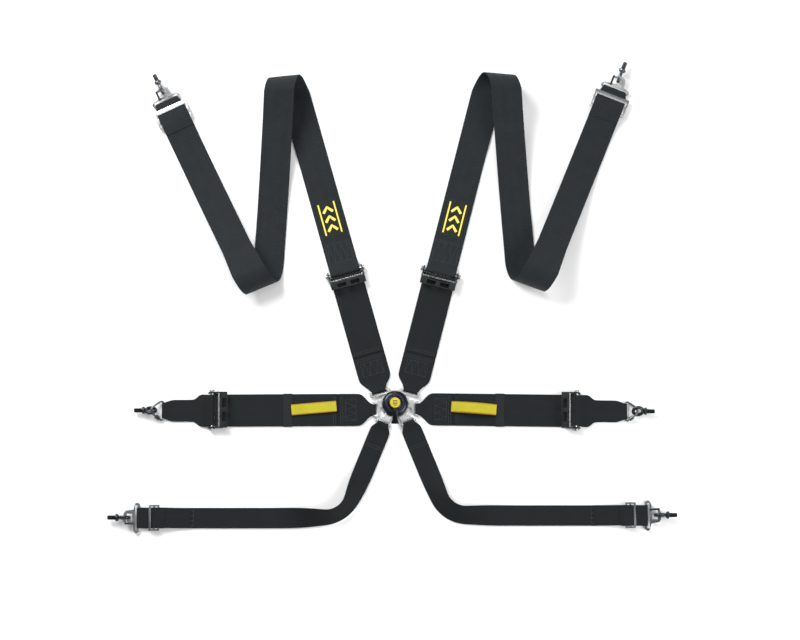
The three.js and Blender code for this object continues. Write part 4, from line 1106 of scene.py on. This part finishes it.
METALS = {  # ends of the names of the CAD pieces that aren't silver
    "_adjuster_frame": "black", "_hook_gate": "dark", "_link_sleeve": "dark", "_link": "dark"}
REBUILT = (  # ends of the names of the CAD pieces that are modelled anew
    "_belt", "_webbing", "_strap", "_pull_loop", "_lock_bar", "_eye_bolt", "buckle_cover",
    "release_lever", "lever_badge")
for node_name in list(nodes):
    if node_name.endswith(REBUILT):
        continue
    finish = next((METALS[end] for end in METALS if node_name.endswith(end)), "silver")
    if node_name.startswith("crotch") and finish == "silver" and not node_name.endswith("_tongue"):
        finish = "grey"
    refine(node_name, finish)

build_buckle()
for side in ("left", "right"):
    for name in (f"shoulder_{side}", f"lap_{side}"):
        build_adjuster(name)
    for strap, tilt in EYE_TILT.items():
        build_eye_bolt(f"{strap}_{side}", tilt)


# ---- Floor, light and camera ----
def aimed(name, data, spot, direction):
    holder = linked(name, data)
    holder.location = spot
    holder.rotation_mode = "QUATERNION"
    holder.rotation_quaternion = direction.to_track_quat("-Z", "Y")
    return holder


def floor_and_light():
    mesh = bpy.data.meshes.new("studio_floor")
    half = FLOOR_HALF
    mesh.from_pydata([(-half, -half, 0), (half, -half, 0), (half, half, 0), (-half, half, 0)], [],
                     [(0, 1, 2, 3)])
    paper = Finish("white_paper")
    grain = paper.noise(40.0, 2.0)
    paper.set(Base_Color=paper.blend(paper.scaled(grain, 0, 1), linear(246, 246, 246),
                                     linear(250, 250, 250)), Roughness=0.9)
    mesh.materials.append(paper.material)
    linked("studio_floor", mesh)
    world = bpy.data.worlds.new("studio")
    bpy.context.scene.world = world
    world.use_nodes = True
    background = world.node_tree.nodes["Background"]
    background.inputs["Color"].default_value = (1, 1, 1, 1)
    background.inputs["Strength"].default_value = WORLD_STRENGTH
    bpy.context.scene.view_settings.view_transform = "Standard"
    for name, spot, size, power in LAMPS:
        lamp = bpy.data.lights.new(name, "AREA")
        lamp.size = size
        lamp.energy = power
        aimed(name, lamp, spot, Vector(LAMPS_AIM) - Vector(spot))


def camera():
    elevation = math.radians(CAMERA["elevation"])
    back = Vector((0, -math.cos(elevation), math.sin(elevation)))
    data = bpy.data.cameras.new("camera")
    data.sensor_width = CAMERA["sensor"]
    data.lens = CAMERA["lens"]
    spot = Vector(CAMERA["target"]) + back * CAMERA["distance"]
    bpy.context.scene.camera = aimed("camera", data, spot, -back)


floor_and_light()
camera()
